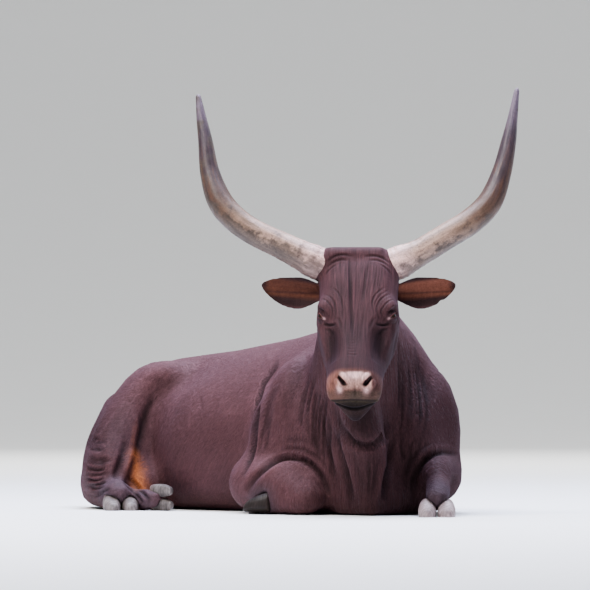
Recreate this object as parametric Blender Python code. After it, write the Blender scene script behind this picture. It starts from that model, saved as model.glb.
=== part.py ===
"""Life-size long-horned cow, lying down with its head raised: a still model in solid pieces.

Metres, +Z up. The pose is laid out in a frame that faces the way the head looks: x runs to the
animal's left, y backwards and z up from the floor. At the end everything is turned about Z, so
that the trunk lies along Y and the head looks off to the animal's right.

The flesh is built as overlapping masses, fused into one closed body, thinned to a light mesh
and parted with thin cuts. Horns, eyes, ears and claws are solids of their own.
"""
import math

import bmesh
import bpy
from mathutils import Matrix, Vector

# Overall layout
TRUNK_TURN = math.radians(38.0)     # from the head's line of sight to the trunk's line
FLOOR = 0.0
BELOW_FLOOR = 0.03                  # masses reach this far down before the floor cut makes flats
GAP = 0.0003                        # between neighbouring solids
CUT_HALF = 0.0004                   # half the width of a thin cut

# Clay resolution
VOXEL = 0.009
FINE_STEPS = 7                      # smoothing of head and feet
BROAD_STEPS = 80                    # smoothing of the body, which melts the masses together
HEAD_FACES = 1300
BODY_FACES = 1940
RING_SIDES = 28
CAP_ANGLES = (25, 50, 74)           # steps of a rounded end

# Head: a runs down the face from the poll, n out of the face, l to the animal's left
POLL = Vector((-0.081, -0.372, 0.806))
FACE_TILT = math.radians(32.5)      # of the face from the vertical
HEAD_YAW = math.radians(-5.0)
EYE_RADIUS = 0.0195
EYE_SIDES = 12
EYE_A = 0.218
EYE_L = 0.0985
EYE_N = -0.040

# Horns
HORN_SIDES = 10
HORN_RINGS = 18

# Ears
EAR_WIDTH = 0.093
EAR_THICKNESS = 0.007
EAR_ROWS = 9
EAR_COLUMNS = 6

# Claws
CLAW_LENGTH = 0.100
CLEFT = 0.004                       # between the two claws of a foot
CLAW_HEIGHT = 0.064
CLAW_SIDES = 10
CLAW_STEPS = (0.0, 0.08, 0.35, 0.65, 0.90, 1.0)   # shares of the length from heel to toe

TAIL_RADIUS = 0.019

FLESH_COLOUR = (0.105, 0.042, 0.034, 1.0)
HORN_COLOUR = (0.45, 0.36, 0.31, 1.0)
CLAW_COLOUR = (0.23, 0.19, 0.17, 1.0)
EYE_COLOUR = (0.02, 0.012, 0.010, 1.0)
SWITCH_COLOUR = (0.035, 0.018, 0.015, 1.0)


def clear_scene():
    """Remove whatever the scene holds."""
    for old in list(bpy.data.objects):
        bpy.data.objects.remove(old, do_unlink=True)


def material(name, colour, roughness):
    """A Principled material of one colour."""
    made = bpy.data.materials.new(name)
    made.use_nodes = True
    shader = made.node_tree.nodes["Principled BSDF"]
    shader.inputs["Base Color"].default_value = colour
    shader.inputs["Roughness"].default_value = roughness
    shader.inputs["Metallic"].default_value = 0.0
    return made


def new_object(name, mesh):
    """Link a mesh into the scene as an object."""
    made = bpy.data.objects.new(name, mesh)
    bpy.context.scene.collection.objects.link(made)
    return made


def blend_points(points, count):
    """Points on a smooth curve through the given ones, evenly spaced by their index."""
    rows = [Vector(p) for p in points]
    last = len(rows) - 1
    result = []
    for step in range(count):
        at = last * step / (count - 1)
        k = min(int(at), last - 1)
        t = at - k
        p0 = rows[max(k - 1, 0)]
        p1 = rows[k]
        p2 = rows[k + 1]
        p3 = rows[min(k + 2, last)]
        part_a = p1 * 2 + (p2 - p0) * t
        part_b = (p0 * 2 - p1 * 5 + p2 * 4 - p3) * t * t
        part_c = (p1 * 3 - p0 - p2 * 3 + p3) * t * t * t
        result.append((part_a + part_b + part_c) * 0.5)
    return result


def closed_outline(points, count):
    """Points on a smooth closed curve through the given ones."""
    rows = [Vector(p) for p in points]
    total = len(rows)
    result = []
    for step in range(count):
        at = total * step / count
        k = int(at)
        t = at - k
        p0 = rows[(k - 1) % total]
        p1 = rows[k % total]
        p2 = rows[(k + 1) % total]
        p3 = rows[(k + 2) % total]
        part_a = p1 * 2 + (p2 - p0) * t
        part_b = (p0 * 2 - p1 * 5 + p2 * 4 - p3) * t * t
        part_c = (p1 * 3 - p0 - p2 * 3 + p3) * t * t * t
        result.append((part_a + part_b + part_c) * 0.5)
    return result


def loft(name, rings):
    """One closed body through rings of equal length, with a cap at each end."""
    sides = len(rings[0])
    verts = [point for ring in rings for point in ring]
    faces = []
    for row in range(len(rings) - 1):
        for k in range(sides):
            nxt = (k + 1) % sides
            low = row * sides
            high = low + sides
            faces.append((low + k, low + nxt, high + nxt, high + k))
    verts.append(sum(rings[0], Vector()) / sides)
    verts.append(sum(rings[-1], Vector()) / sides)
    first_cap = len(verts) - 2
    last_cap = len(verts) - 1
    top = (len(rings) - 1) * sides
    for k in range(sides):
        nxt = (k + 1) % sides
        faces.append((first_cap, nxt, k))
        faces.append((last_cap, top + k, top + nxt))
    mesh = bpy.data.meshes.new(name)
    mesh.from_pydata(verts, [], faces)
    work = bmesh.new()
    work.from_mesh(mesh)
    bmesh.ops.triangulate(work, faces=work.faces)
    bmesh.ops.recalc_face_normals(work, faces=work.faces)
    if work.calc_volume(signed=True) < 0:
        bmesh.ops.reverse_faces(work, faces=work.faces)
    work.to_mesh(mesh)
    work.free()
    return new_object(name, mesh)


def tube(name, stations, rings=0, sides=RING_SIDES, flatten=1.0):
    """A round limb along stations of (x, y, z, radius), with rounded ends.

    The section's frame is carried along the path without twist; flatten squeezes its height.
    """
    path = blend_points([s[:3] for s in stations], rings or 6 * len(stations))
    radii = [p.x for p in blend_points([(s[3], 0, 0) for s in stations], len(path))]
    heading = (path[1] - path[0]).normalized()
    side = heading.cross(Vector((0, 0, 1))).normalized()
    rows = []
    for k, centre in enumerate(path):
        ahead = (path[min(k + 1, len(path) - 1)] - path[max(k - 1, 0)]).normalized()
        side = (heading.rotation_difference(ahead) @ side).normalized()
        heading = ahead
        rows.append((centre, ahead, side, radii[k]))
    for end, sign in ((0, -1), (-1, 1)):
        centre, ahead, side, radius = rows[end]
        caps = []
        for angle in CAP_ANGLES:
            out = math.sin(math.radians(angle)) * radius * sign
            wide = math.cos(math.radians(angle)) * radius
            caps.append((centre + ahead * out, ahead, side, wide))
        rows = caps[::-1] + rows if end == 0 else rows + caps
    result = []
    for centre, ahead, side, radius in rows:
        up = side.cross(ahead)
        ring = []
        for k in range(sides):
            angle = math.tau * k / sides
            ring.append(centre + side * math.cos(angle) * radius + up * math.sin(angle) * radius * flatten)
        result.append(ring)
    return loft(name, result)


def blob(name, centre, radii, turn=0.0, segments=28):
    """An ellipsoid, turned about Z."""
    work = bmesh.new()
    bmesh.ops.create_uvsphere(work, u_segments=segments, v_segments=segments * 5 // 8, radius=1.0)
    place = (Matrix.Translation(Vector(centre))
             @ Matrix.Rotation(math.radians(turn), 4, "Z")
             @ Matrix.Diagonal((*radii, 1.0)))
    bmesh.ops.transform(work, matrix=place, verts=work.verts)
    mesh = bpy.data.meshes.new(name)
    work.to_mesh(mesh)
    work.free()
    return new_object(name, mesh)


def apply_modifiers(item):
    """Bake an object's modifiers into its mesh."""
    depsgraph = bpy.context.evaluated_depsgraph_get()
    mesh = bpy.data.meshes.new_from_object(item.evaluated_get(depsgraph))
    item.modifiers.clear()
    item.data = mesh


def copy_of(item, name):
    """A second object with its own mesh."""
    made = new_object(name, item.data.copy())
    return made


def remove(item):
    """Delete an object that was only a helper."""
    bpy.data.objects.remove(item, do_unlink=True)


def joined(name, items):
    """One object holding the meshes of several, which are removed."""
    work = bmesh.new()
    for item in items:
        work.from_mesh(item.data)
        remove(item)
    mesh = bpy.data.meshes.new(name)
    work.to_mesh(mesh)
    work.free()
    return new_object(name, mesh)


def fused(name, items):
    """Overlapping masses made into one smooth closed body.

    The body is smoothed far more than the head and feet, whose points have little weight.
    """
    body = joined(name, items)
    remesh = body.modifiers.new("clay", "REMESH")
    remesh.mode = "VOXEL"
    remesh.voxel_size = VOXEL
    remesh.adaptivity = 0.0
    apply_modifiers(body)
    group = body.vertex_groups.new(name="broad")
    for vert in body.data.vertices:
        group.add([vert.index], broad_weight(vert.co), "REPLACE")
    melt = body.modifiers.new("melt", "SMOOTH")
    melt.factor = 0.5
    melt.iterations = BROAD_STEPS
    melt.vertex_group = "broad"
    soften = body.modifiers.new("soften", "SMOOTH")
    soften.factor = 0.5
    soften.iterations = FINE_STEPS
    apply_modifiers(body)
    return body


def thin(item, faces):
    """Collapse a mesh to about a number of triangles."""
    count = sum(len(p.vertices) - 2 for p in item.data.polygons)
    if count > faces:
        decimate = item.modifiers.new("thin", "DECIMATE")
        decimate.ratio = faces / count
        decimate.use_collapse_triangulate = True
        apply_modifiers(item)


def slice_off(item, point, normal):
    """Cut with a plane, keep the side the normal points away from, and fill the cut."""
    work = bmesh.new()
    work.from_mesh(item.data)
    geometry = work.verts[:] + work.edges[:] + work.faces[:]
    bmesh.ops.bisect_plane(work, geom=geometry, dist=1e-6, plane_co=Vector(point),
                           plane_no=Vector(normal), clear_outer=True)
    rim = [e for e in work.edges if e.is_boundary]
    if rim:
        bmesh.ops.triangle_fill(work, use_beauty=True, edges=rim, normal=Vector(normal))
        bmesh.ops.recalc_face_normals(work, faces=work.faces)
    work.to_mesh(item.data)
    work.free()


def largest_body(item):
    """Keep the biggest of the separate bodies in a mesh."""
    work = bmesh.new()
    work.from_mesh(item.data)
    bmesh.ops.remove_doubles(work, verts=work.verts, dist=1e-6)
    unseen = set(work.verts)
    bodies = []
    while unseen:
        start = unseen.pop()
        group = {start}
        edge_list = [start]
        while edge_list:
            here = edge_list.pop()
            for edge in here.link_edges:
                other = edge.other_vert(here)
                if other in unseen:
                    unseen.discard(other)
                    group.add(other)
                    edge_list.append(other)
        bodies.append(group)
    bodies.sort(key=len)
    for group in bodies[:-1]:
        bmesh.ops.delete(work, geom=list(group), context="VERTS")
    work.to_mesh(item.data)
    work.free()


def puffed(item, name, distance):
    """A copy whose points are moved out along their normals."""
    made = copy_of(item, name)
    made.data.update()
    for vert in made.data.vertices:
        vert.co += vert.normal * distance
    return made


def carve(item, cutter, operation="DIFFERENCE"):
    """Boolean one object by another and keep one closed body."""
    cut = item.modifiers.new("carve", "BOOLEAN")
    cut.operation = operation
    cut.solver = "EXACT"
    cut.object = cutter
    bpy.context.view_layer.update()
    apply_modifiers(item)
    largest_body(item)


def box(name, centre, size, turn=0.0, grow=0.0):
    """A block turned about Z and grown by the same amount on every side."""
    work = bmesh.new()
    bmesh.ops.create_cube(work, size=1.0)
    full = [s + 2 * grow for s in size]
    place = (Matrix.Translation(Vector(centre))
             @ Matrix.Rotation(math.radians(turn), 4, "Z")
             @ Matrix.Diagonal((*full, 1.0)))
    bmesh.ops.transform(work, matrix=place, verts=work.verts)
    mesh = bpy.data.meshes.new(name)
    work.to_mesh(mesh)
    work.free()
    return new_object(name, mesh)


# Trunk stations: x, y, heading in degrees, back height, height of greatest width,
# half width to the left, half width to the right
TRUNK = (
    (0.005, -0.210, 20, 0.38, 0.18, 0.100, 0.130),
    (0.020, -0.140, 24, 0.50, 0.22, 0.170, 0.185),
    (0.025, -0.040, 28, 0.580, 0.25, 0.215, 0.225),
    (-0.030, 0.090, 31, 0.618, 0.26, 0.240, 0.250),
    (-0.130, 0.205, 35, 0.592, 0.25, 0.255, 0.280),
    (-0.220, 0.320, 38, 0.564, 0.24, 0.280, 0.305),
    (-0.331, 0.450, 41, 0.542, 0.23, 0.300, 0.330),
    (-0.440, 0.565, 44, 0.522, 0.22, 0.300, 0.325),
    (-0.528, 0.650, 47, 0.512, 0.23, 0.285, 0.275),
    (-0.600, 0.715, 50, 0.506, 0.25, 0.265, 0.235),
    (-0.674, 0.775, 52, 0.494, 0.26, 0.245, 0.210),
    (-0.760, 0.840, 53, 0.458, 0.25, 0.205, 0.175),
    (-0.825, 0.885, 53, 0.400, 0.22, 0.135, 0.115),
)
BACK_POWER = 1.75                   # below 2 the back is a tent with a ridge
BELLY_POWER = 2.9                   # above 2 the underside is spread on the floor


def trunk_ring(station):
    """A section of the trunk: a tent above its widest level, spread on the floor below it."""
    x, y, heading, back, widest, left, right = station
    turn = math.radians(heading)
    across = Vector((math.cos(turn), math.sin(turn), 0))
    ring = []
    for k in range(RING_SIDES + 4):
        angle = math.tau * k / (RING_SIDES + 4)
        c = math.cos(angle)
        s = math.sin(angle)
        power = BACK_POWER if s > 0 else BELLY_POWER
        wide = math.copysign(abs(c) ** (2 / power), c)
        tall = math.copysign(abs(s) ** (2 / power), s)
        half = left if c > 0 else right
        height = back - widest if s > 0 else widest + BELOW_FLOOR
        ring.append(Vector((x, y, widest)) + across * wide * half + Vector((0, 0, tall * height)))
    return ring


# Neck stations: x, y, crest height and half width, middle height and half width,
# lower height and half width, lowest height
NECK = (
    (-0.088, -0.315, 0.770, 0.050, 0.610, 0.090, 0.360, 0.068, 0.060),
    (-0.084, -0.240, 0.752, 0.056, 0.580, 0.120, 0.270, 0.100, -0.020),
    (-0.070, -0.150, 0.718, 0.060, 0.520, 0.146, 0.240, 0.145, -0.020),
    (-0.045, -0.060, 0.683, 0.066, 0.470, 0.176, 0.220, 0.180, -0.020),
    (-0.020, 0.040, 0.648, 0.075, 0.420, 0.205, 0.200, 0.210, -0.020),
    (-0.020, 0.130, 0.615, 0.080, 0.380, 0.215, 0.200, 0.200, -0.020),
)


def neck_ring(station):
    """A section of the neck: a narrow crest, full sides and a narrow throat."""
    x, y, crest, crest_half, middle, middle_half, low, low_half, keel = station
    right_side = [(crest_half, crest - 0.035), (middle_half, middle), (low_half, low)]
    points = [(0, crest)] + right_side + [(0, keel)]
    points += [(-w, z) for w, z in reversed(right_side)]
    outline = closed_outline([(w, 0, z) for w, z in points], RING_SIDES)
    return [Vector((x, y, 0)) + p for p in outline]


# Dewlap levels: x, y, z, half width, half depth
DEWLAP = (
    (-0.084, -0.300, 0.460, 0.050, 0.050),
    (-0.084, -0.325, 0.390, 0.056, 0.075),
    (-0.080, -0.335, 0.320, 0.058, 0.092),
    (-0.068, -0.318, 0.240, 0.070, 0.098),
    (-0.055, -0.288, 0.150, 0.062, 0.098),
    (-0.045, -0.262, 0.060, 0.046, 0.098),
    (-0.043, -0.250, -0.030, 0.038, 0.098),
)


def level_ring(station):
    """An oval section at one level."""
    x, y, z, half_width, half_depth = station
    ring = []
    for k in range(RING_SIDES):
        angle = math.tau * k / RING_SIDES
        ring.append(Vector((x + half_width * math.cos(angle), y + half_depth * math.sin(angle), z)))
    return ring


def head_matrix():
    """Turns head coordinates (l, n, a) into the layout frame."""
    yaw = Matrix.Rotation(HEAD_YAW, 4, "Z")
    tilt = Matrix.Rotation(-FACE_TILT, 4, "X")
    # l along x, n towards -y, a towards -z before the tilt
    axes = Matrix(((1, 0, 0, 0), (0, -1, 0, 0), (0, 0, -1, 0), (0, 0, 0, 1)))
    return Matrix.Translation(POLL) @ yaw @ tilt @ axes


def on_head(a, n, l):
    """A point a down the face, n out of it and l to the left."""
    return head_matrix() @ Vector((l, n, a))


# Skull stations: a, front n, half width of the front, n and half width of the widest part,
# half width low down, back n
SKULL = (
    (-0.030, -0.045, 0.074, -0.075, 0.080, 0.064, -0.105),
    (-0.019, -0.022, 0.091, -0.070, 0.097, 0.080, -0.128),
    (0.005, -0.008, 0.095, -0.070, 0.102, 0.085, -0.148),
    (0.060, 0.003, 0.094, -0.080, 0.108, 0.086, -0.172),
    (0.115, 0.006, 0.095, -0.080, 0.115, 0.088, -0.200),
    (0.165, 0.004, 0.096, -0.070, 0.124, 0.085, -0.222),
    (0.210, 0.000, 0.089, -0.080, 0.129, 0.080, -0.238),
    (0.260, -0.004, 0.073, -0.100, 0.124, 0.072, -0.236),
    (0.310, -0.004, 0.060, -0.105, 0.113, 0.062, -0.214),
    (0.360, -0.002, 0.055, -0.090, 0.098, 0.054, -0.188),
    (0.400, 0.001, 0.056, -0.072, 0.089, 0.048, -0.168),
    (0.435, 0.002, 0.062, -0.064, 0.087, 0.046, -0.155),
    (0.462, -0.004, 0.067, -0.062, 0.087, 0.046, -0.150),
    (0.480, -0.016, 0.066, -0.066, 0.085, 0.044, -0.146),
    (0.493, -0.034, 0.065, -0.074, 0.083, 0.042, -0.134),
    (0.499, -0.052, 0.050, -0.080, 0.067, 0.032, -0.112),
)


def skull_ring(station):
    """A section across the face: flat front, full cheeks, narrow jaw."""
    a, front, front_half, wide_n, wide_half, low_half, back = station
    low_n = wide_n + (back - wide_n) * 0.72
    shoulder_n = front - 0.006 - 0.12 * (front - wide_n)
    right_side = [(front_half * 0.55, front), (front_half, shoulder_n),
                  (wide_half, wide_n), (low_half, low_n)]
    points = [(0, front)] + right_side + [(0, back)]
    points += [(-w, n) for w, n in reversed(right_side)]
    outline = closed_outline([(w, n, 0) for w, n in points], RING_SIDES + 8)
    return [on_head(a, p.y, p.x) for p in outline]


# Chin masses: place as a, n, l, and radii across, out of and along the face
CHIN = (
    ((0.462, -0.102, 0.0), (0.066, 0.042, 0.042)),
    ((0.486, -0.118, 0.0), (0.050, 0.034, 0.034)),
    ((0.498, -0.138, 0.0), (0.028, 0.026, 0.032)),
)


def head_masses():
    """The skull with brows, cheekbones, lips and chin."""
    masses = [loft("skull", [skull_ring(s) for s in SKULL])]
    turn = head_matrix().to_3x3().to_4x4()
    for side in (-1, 1):
        brow = blob("brow", (0, 0, 0), (0.026, 0.028, 0.040))
        brow.data.transform(Matrix.Translation(on_head(0.196, -0.027, side * 0.099)) @ turn)
        masses.append(brow)
        cheek_bone = [on_head(0.240, -0.062, side * 0.096), on_head(0.30, -0.064, side * 0.084),
                      on_head(0.35, -0.060, side * 0.068)]
        masses.append(tube("cheek_bone", [(*p, r) for p, r in zip(cheek_bone, (0.028, 0.024, 0.018))]))
        masses.append(tube("temple", [(*on_head(0.030, -0.060, side * 0.075), 0.048),
                                      (*on_head(0.120, -0.060, side * 0.080), 0.042)]))
    for place, radii in CHIN:
        chin = blob("chin", (0, 0, 0), radii)
        chin.data.transform(Matrix.Translation(on_head(*place)) @ turn)
        masses.append(chin)
    jaw = [on_head(0.20, -0.185, 0), on_head(0.30, -0.165, 0), on_head(0.40, -0.135, 0)]
    masses.append(tube("jaw", [(*p, r) for p, r in zip(jaw, (0.062, 0.052, 0.040))]))
    return masses


# Right horn path: x, y, z and radius; the left one has its own x and z from the photo
HORN_RIGHT = (
    (-0.165, -0.330, 0.752, 0.052),
    (-0.215, -0.330, 0.772, 0.0515),
    (-0.308, -0.325, 0.818, 0.0430),
    (-0.406, -0.315, 0.866, 0.0410),
    (-0.467, -0.300, 0.912, 0.0410),
    (-0.507, -0.280, 0.965, 0.0395),
    (-0.536, -0.250, 1.050, 0.0310),
    (-0.550, -0.225, 1.145, 0.0230),
    (-0.563, -0.205, 1.220, 0.0160),
    (-0.574, -0.190, 1.294, 0.0075),
)
HORN_LEFT = (
    (-0.005, -0.330, 0.752, 0.052),
    (0.042, -0.330, 0.770, 0.0515),
    (0.106, -0.325, 0.801, 0.0430),
    (0.186, -0.315, 0.850, 0.0415),
    (0.260, -0.300, 0.896, 0.0410),
    (0.320, -0.280, 0.956, 0.0390),
    (0.358, -0.250, 1.048, 0.0310),
    (0.381, -0.225, 1.145, 0.0240),
    (0.395, -0.205, 1.220, 0.0160),
    (0.410, -0.190, 1.314, 0.0075),
)


def horn(name, stations):
    """A long tapering horn: out from the poll, then up, with a blunt tip."""
    return tube(name, stations, rings=HORN_RINGS, sides=HORN_SIDES)


def ear(name, side):
    """A cupped leaf with a thick rim; its hollow looks forward.

    Its half width runs along the leaf as a narrow root, a broad middle and a round tip. Across
    the leaf the surface is a parabola whose depth falls off towards the tip.
    """
    root = Vector((POLL.x + side * 0.100, -0.330, 0.680))
    tip = Vector((POLL.x + side * 0.296, -0.300, 0.702))
    along = (tip - root).normalized()
    back = Vector((0, 1, 0)) - along * along.y
    back.normalize()
    up = back.cross(along) * -side
    up.normalize()
    rings = []
    for row in range(EAR_ROWS + 1):
        t = row / EAR_ROWS
        round_tip = max(1 - ((t - 0.40) / 0.605) ** 2, 0.0) ** 0.75 if t > 0.40 else 1.0
        swell = 0.36 + 0.64 * math.sin(math.pi / 2 * min(t / 0.42, 1.0)) ** 1.5
        half = EAR_WIDTH / 2 * max(swell * round_tip, 0.05)
        deep = 0.036 * (1 - t) ** 0.6 * (1 - 0.2 * t) * min(1.0, 0.45 + 2 * t) + 0.003
        centre = root + (tip - root) * t + up * (-0.0135 * math.sin(math.pi * t))
        thick = EAR_THICKNESS * (1.0 - 0.45 * t)
        front = []
        rear = []
        for k in range(EAR_COLUMNS + 1):
            s = -1 + 2 * k / EAR_COLUMNS
            bow = deep * (1 - s * s)
            base = centre + up * s * half
            front.append(base + back * (bow - deep))
            wall = thick * (1 - 0.35 * abs(s) ** 3)
            rear.append(base + back * (bow - deep + wall) + up * s * thick * 0.35)
        rings.append(front + rear[::-1])
    return loft(name, rings)


def claw(name, heel, toe, side_way, up, width):
    """One half of a cloven hoof: a wedge, tall at the heel and low at the toe."""
    ahead = (toe - heel).normalized()
    rows = []
    for t in CLAW_STEPS:
        half = width / 2 * (0.86 + 0.16 * math.sin(math.pi * t) - 0.34 * t ** 5)
        tall = CLAW_HEIGHT * (1.0 - 0.62 * t ** 1.6)
        squeeze = 0.55 if t in (CLAW_STEPS[0], CLAW_STEPS[-1]) else 1.0
        centre = heel + ahead * CLAW_LENGTH * t
        ring = []
        for k in range(CLAW_SIDES):
            angle = math.tau * k / CLAW_SIDES
            c = math.cos(angle)
            s = math.sin(angle)
            wide = math.copysign(abs(c) ** 0.75, c) * half * squeeze
            high = (math.copysign(abs(s) ** 0.75, s) * squeeze + 1) * tall / 2
            ring.append(centre + side_way * wide + up * high)
        rows.append(ring)
    return loft(name, rows)


def foot(prefix, heel, ahead, up, apart):
    """A pair of claws side by side, pointing ahead, their middles a distance apart."""
    ahead = Vector(ahead).normalized()
    up = Vector(up)
    up = (up - ahead * up.dot(ahead)).normalized()
    side_way = ahead.cross(up)
    made = []
    for label, sign in (("outer", 1), ("inner", -1)):
        start = Vector(heel) + side_way * sign * apart / 2
        toe = start + ahead
        made.append(claw(f"{prefix}_{label}", start, toe, side_way, up, apart - CLEFT))
    return made


def flesh_masses():
    """Trunk, neck, shoulders, haunches and legs as overlapping masses."""
    masses = [loft("trunk_mass", [trunk_ring(s) for s in TRUNK])]
    masses.append(loft("neck_mass", [neck_ring(s) for s in NECK]))
    masses.append(loft("dewlap_mass", [level_ring(s) for s in DEWLAP]))
    masses += head_masses()
    # breast, shoulders and shoulder blades
    masses.append(blob("brisket", (-0.045, -0.190, 0.060), (0.130, 0.120, 0.120)))
    masses.append(blob("breast_left", (0.060, -0.110, 0.190), (0.130, 0.150, 0.230)))
    masses.append(blob("breast_right", (-0.170, -0.080, 0.200), (0.130, 0.150, 0.240)))
    masses.append(blob("shoulder_left", (0.125, 0.010, 0.260), (0.113, 0.160, 0.210), turn=20))
    masses.append(blob("shoulder_right", (-0.255, -0.010, 0.280), (0.120, 0.135, 0.220), turn=-20))
    masses.append(tube("blade_right", [(-0.120, 0.120, 0.470, 0.100), (-0.205, 0.050, 0.400, 0.110),
                                       (-0.255, -0.020, 0.300, 0.115)]))
    masses.append(tube("blade_left", [(0.030, 0.160, 0.420, 0.110), (0.080, 0.100, 0.360, 0.115),
                                      (0.120, 0.020, 0.290, 0.112)]))
    masses.append(blob("triceps_right", (-0.325, 0.030, 0.220), (0.095, 0.110, 0.175), turn=-30))
    # right foreleg: folded under, shin beside the forearm
    masses.append(tube("forearm_right", [(-0.395, 0.020, 0.095, 0.098), (-0.330, -0.080, 0.086, 0.092),
                                         (-0.268, -0.165, 0.074, 0.078), (-0.242, -0.210, 0.058, 0.062)]))
    masses.append(tube("shin_right", [(-0.235, -0.245, 0.045, 0.052), (-0.290, -0.200, 0.040, 0.038),
                                      (-0.345, -0.155, 0.038, 0.042), (-0.378, -0.130, 0.034, 0.037)]))
    # left foreleg: stretched forward
    masses.append(tube("forearm_left", [(0.150, 0.120, 0.150, 0.098), (0.155, 0.020, 0.132, 0.096),
                                        (0.160, -0.100, 0.118, 0.088), (0.160, -0.200, 0.130, 0.066)]))
    masses.append(tube("shin_left", [(0.158, -0.205, 0.138, 0.062), (0.160, -0.265, 0.126, 0.048),
                                     (0.160, -0.320, 0.098, 0.037), (0.158, -0.360, 0.080, 0.041),
                                     (0.155, -0.400, 0.064, 0.038), (0.153, -0.430, 0.050, 0.042)]))
    # pelvis, rolled on to its left side
    masses.append(blob("hook_right", (-0.680, 0.580, 0.400), (0.110, 0.090, 0.092), turn=-44))
    masses.append(blob("hook_left", (-0.470, 0.770, 0.360), (0.110, 0.110, 0.100), turn=44))
    masses.append(blob("pin_right", (-0.855, 0.850, 0.330), (0.070, 0.070, 0.065)))
    masses.append(blob("pin_left", (-0.770, 0.900, 0.310), (0.070, 0.070, 0.065)))
    # right hind leg: thigh down, hock behind, foot forward
    masses.append(tube("thigh_right", [(-0.715, 0.650, 0.340, 0.150), (-0.790, 0.620, 0.270, 0.132),
                                       (-0.848, 0.550, 0.190, 0.108), (-0.868, 0.490, 0.135, 0.090)]))
    masses.append(tube("buttock_right", [(-0.828, 0.830, 0.280, 0.108), (-0.870, 0.780, 0.190, 0.108),
                                         (-0.893, 0.710, 0.110, 0.095)]))
    masses.append(tube("gaskin_right", [(-0.872, 0.480, 0.120, 0.086), (-0.906, 0.600, 0.092, 0.078),
                                        (-0.930, 0.690, 0.068, 0.060), (-0.938, 0.740, 0.055, 0.048)]))
    masses.append(tube("shin_hind_right", [(-0.942, 0.740, 0.045, 0.044), (-0.928, 0.620, 0.040, 0.040),
                                           (-0.893, 0.480, 0.042, 0.042), (-0.864, 0.400, 0.050, 0.050),
                                           (-0.850, 0.360, 0.056, 0.046), (-0.843, 0.335, 0.050, 0.048)]))
    # left hind leg: thigh under the body, foot out beside the other one
    masses.append(blob("haunch_left", (-0.540, 0.790, 0.160), (0.240, 0.175, 0.200), turn=42))
    masses.append(tube("buttock_left", [(-0.755, 0.890, 0.250, 0.100), (-0.700, 0.910, 0.140, 0.110),
                                        (-0.620, 0.890, 0.080, 0.100)]))
    masses.append(tube("shin_hind_left", [(-0.690, 0.580, 0.045, 0.050), (-0.780, 0.440, 0.030, 0.036),
                                          (-0.776, 0.365, 0.032, 0.036), (-0.750, 0.318, 0.036, 0.036),
                                          (-0.722, 0.292, 0.038, 0.037)]))
    masses.append(blob("groin", (-0.772, 0.540, 0.055), (0.100, 0.125, 0.115)))
    return masses


# Where smoothing stays fine: centre and radius of the feet
FINE_SPOTS = (
    ((-0.360, -0.150, 0.03), 0.11),
    ((0.160, -0.400, 0.06), 0.15),
    ((-0.870, 0.400, 0.05), 0.15),
    ((-0.760, 0.320, 0.03), 0.13),
)
FEET_WEIGHT = 0.12
HEAD_REACH = 0.17                   # of fine smoothing, from the middle of the head
HEAD_FADE = 0.14
THROAT_LEVEL = 0.27                 # below this the broad smoothing is back in full
THROAT_FADE = 0.06


def broad_weight(point):
    """How much of the broad smoothing a point takes: little on the head and the feet."""
    near = on_head(0.04, -0.09, 0)
    far = on_head(0.50, -0.09, 0)
    line = far - near
    along = max(0.0, min(1.0, (point - near).dot(line) / line.length_squared))
    distance = (point - near - line * along).length
    weight = max(0.0, min(1.0, (distance - HEAD_REACH) / HEAD_FADE))
    weight = max(weight, min(1.0, (THROAT_LEVEL - point.z) / THROAT_FADE))
    for centre, radius in FINE_SPOTS:
        distance = (point - Vector(centre)).length
        share = max(0.0, min(1.0, (distance - radius) / radius))
        weight = min(weight, FEET_WEIGHT + (1 - FEET_WEIGHT) * share)
    return weight


# Blocks that hold one leg each: centre, size, turn in degrees
LEG_REGIONS = {
    "foreleg_right": ((-0.330, -0.150, 0.050), (0.340, 0.240, 0.250), -52),
    "foreleg_left": ((0.165, -0.320, 0.080), (0.200, 0.420, 0.330), 0),
    "hindleg_right": ((-0.945, 0.530, 0.080), (0.220, 0.600, 0.300), 10),
    "hindleg_left": ((-0.748, 0.318, 0.040), (0.120, 0.140, 0.140), 20),
}

# The head's share of the flesh is a prism across it, with corners given as (a, n): the nape's
# line runs from the first corner to the second, and the throat's from the second to the third
HEAD_SPACE = ((-0.250, -0.106), (0.283, -0.246), (0.750, -0.071), (0.750, 0.400), (-0.250, 0.400))
HEAD_SPACE_HALF = 0.40              # half the prism's width

# Plane between neck and trunk: a point and the way back
WITHERS = (Vector((-0.03, -0.070, 0.37)), Vector((-0.22, 0.85, -0.48)).normalized())
SLACK = 0.02                        # kept past a cut until the mesh has been thinned

# Feet: heel, way ahead, way up and space between the claws' middles
FEET = {
    "claw_fore_right": ((-0.338, -0.155, 0.004), (-0.95, 0.32, -0.02), (0.25, 0.15, 0.95), 0.054),
    "claw_fore_left": ((0.152, -0.410, -0.004), (-0.02, -1.0, -0.08), (0, -0.08, 1.0), 0.058),
    "claw_hind_right": ((-0.841, 0.360, -0.002), (0.20, -0.98, -0.08), (0, -0.08, 1.0), 0.058),
    "claw_hind_left": ((-0.746, 0.300, 0.040), (0.80, -0.60, 0.0), (0.60, 0.80, 0.06), 0.046),
}


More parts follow.
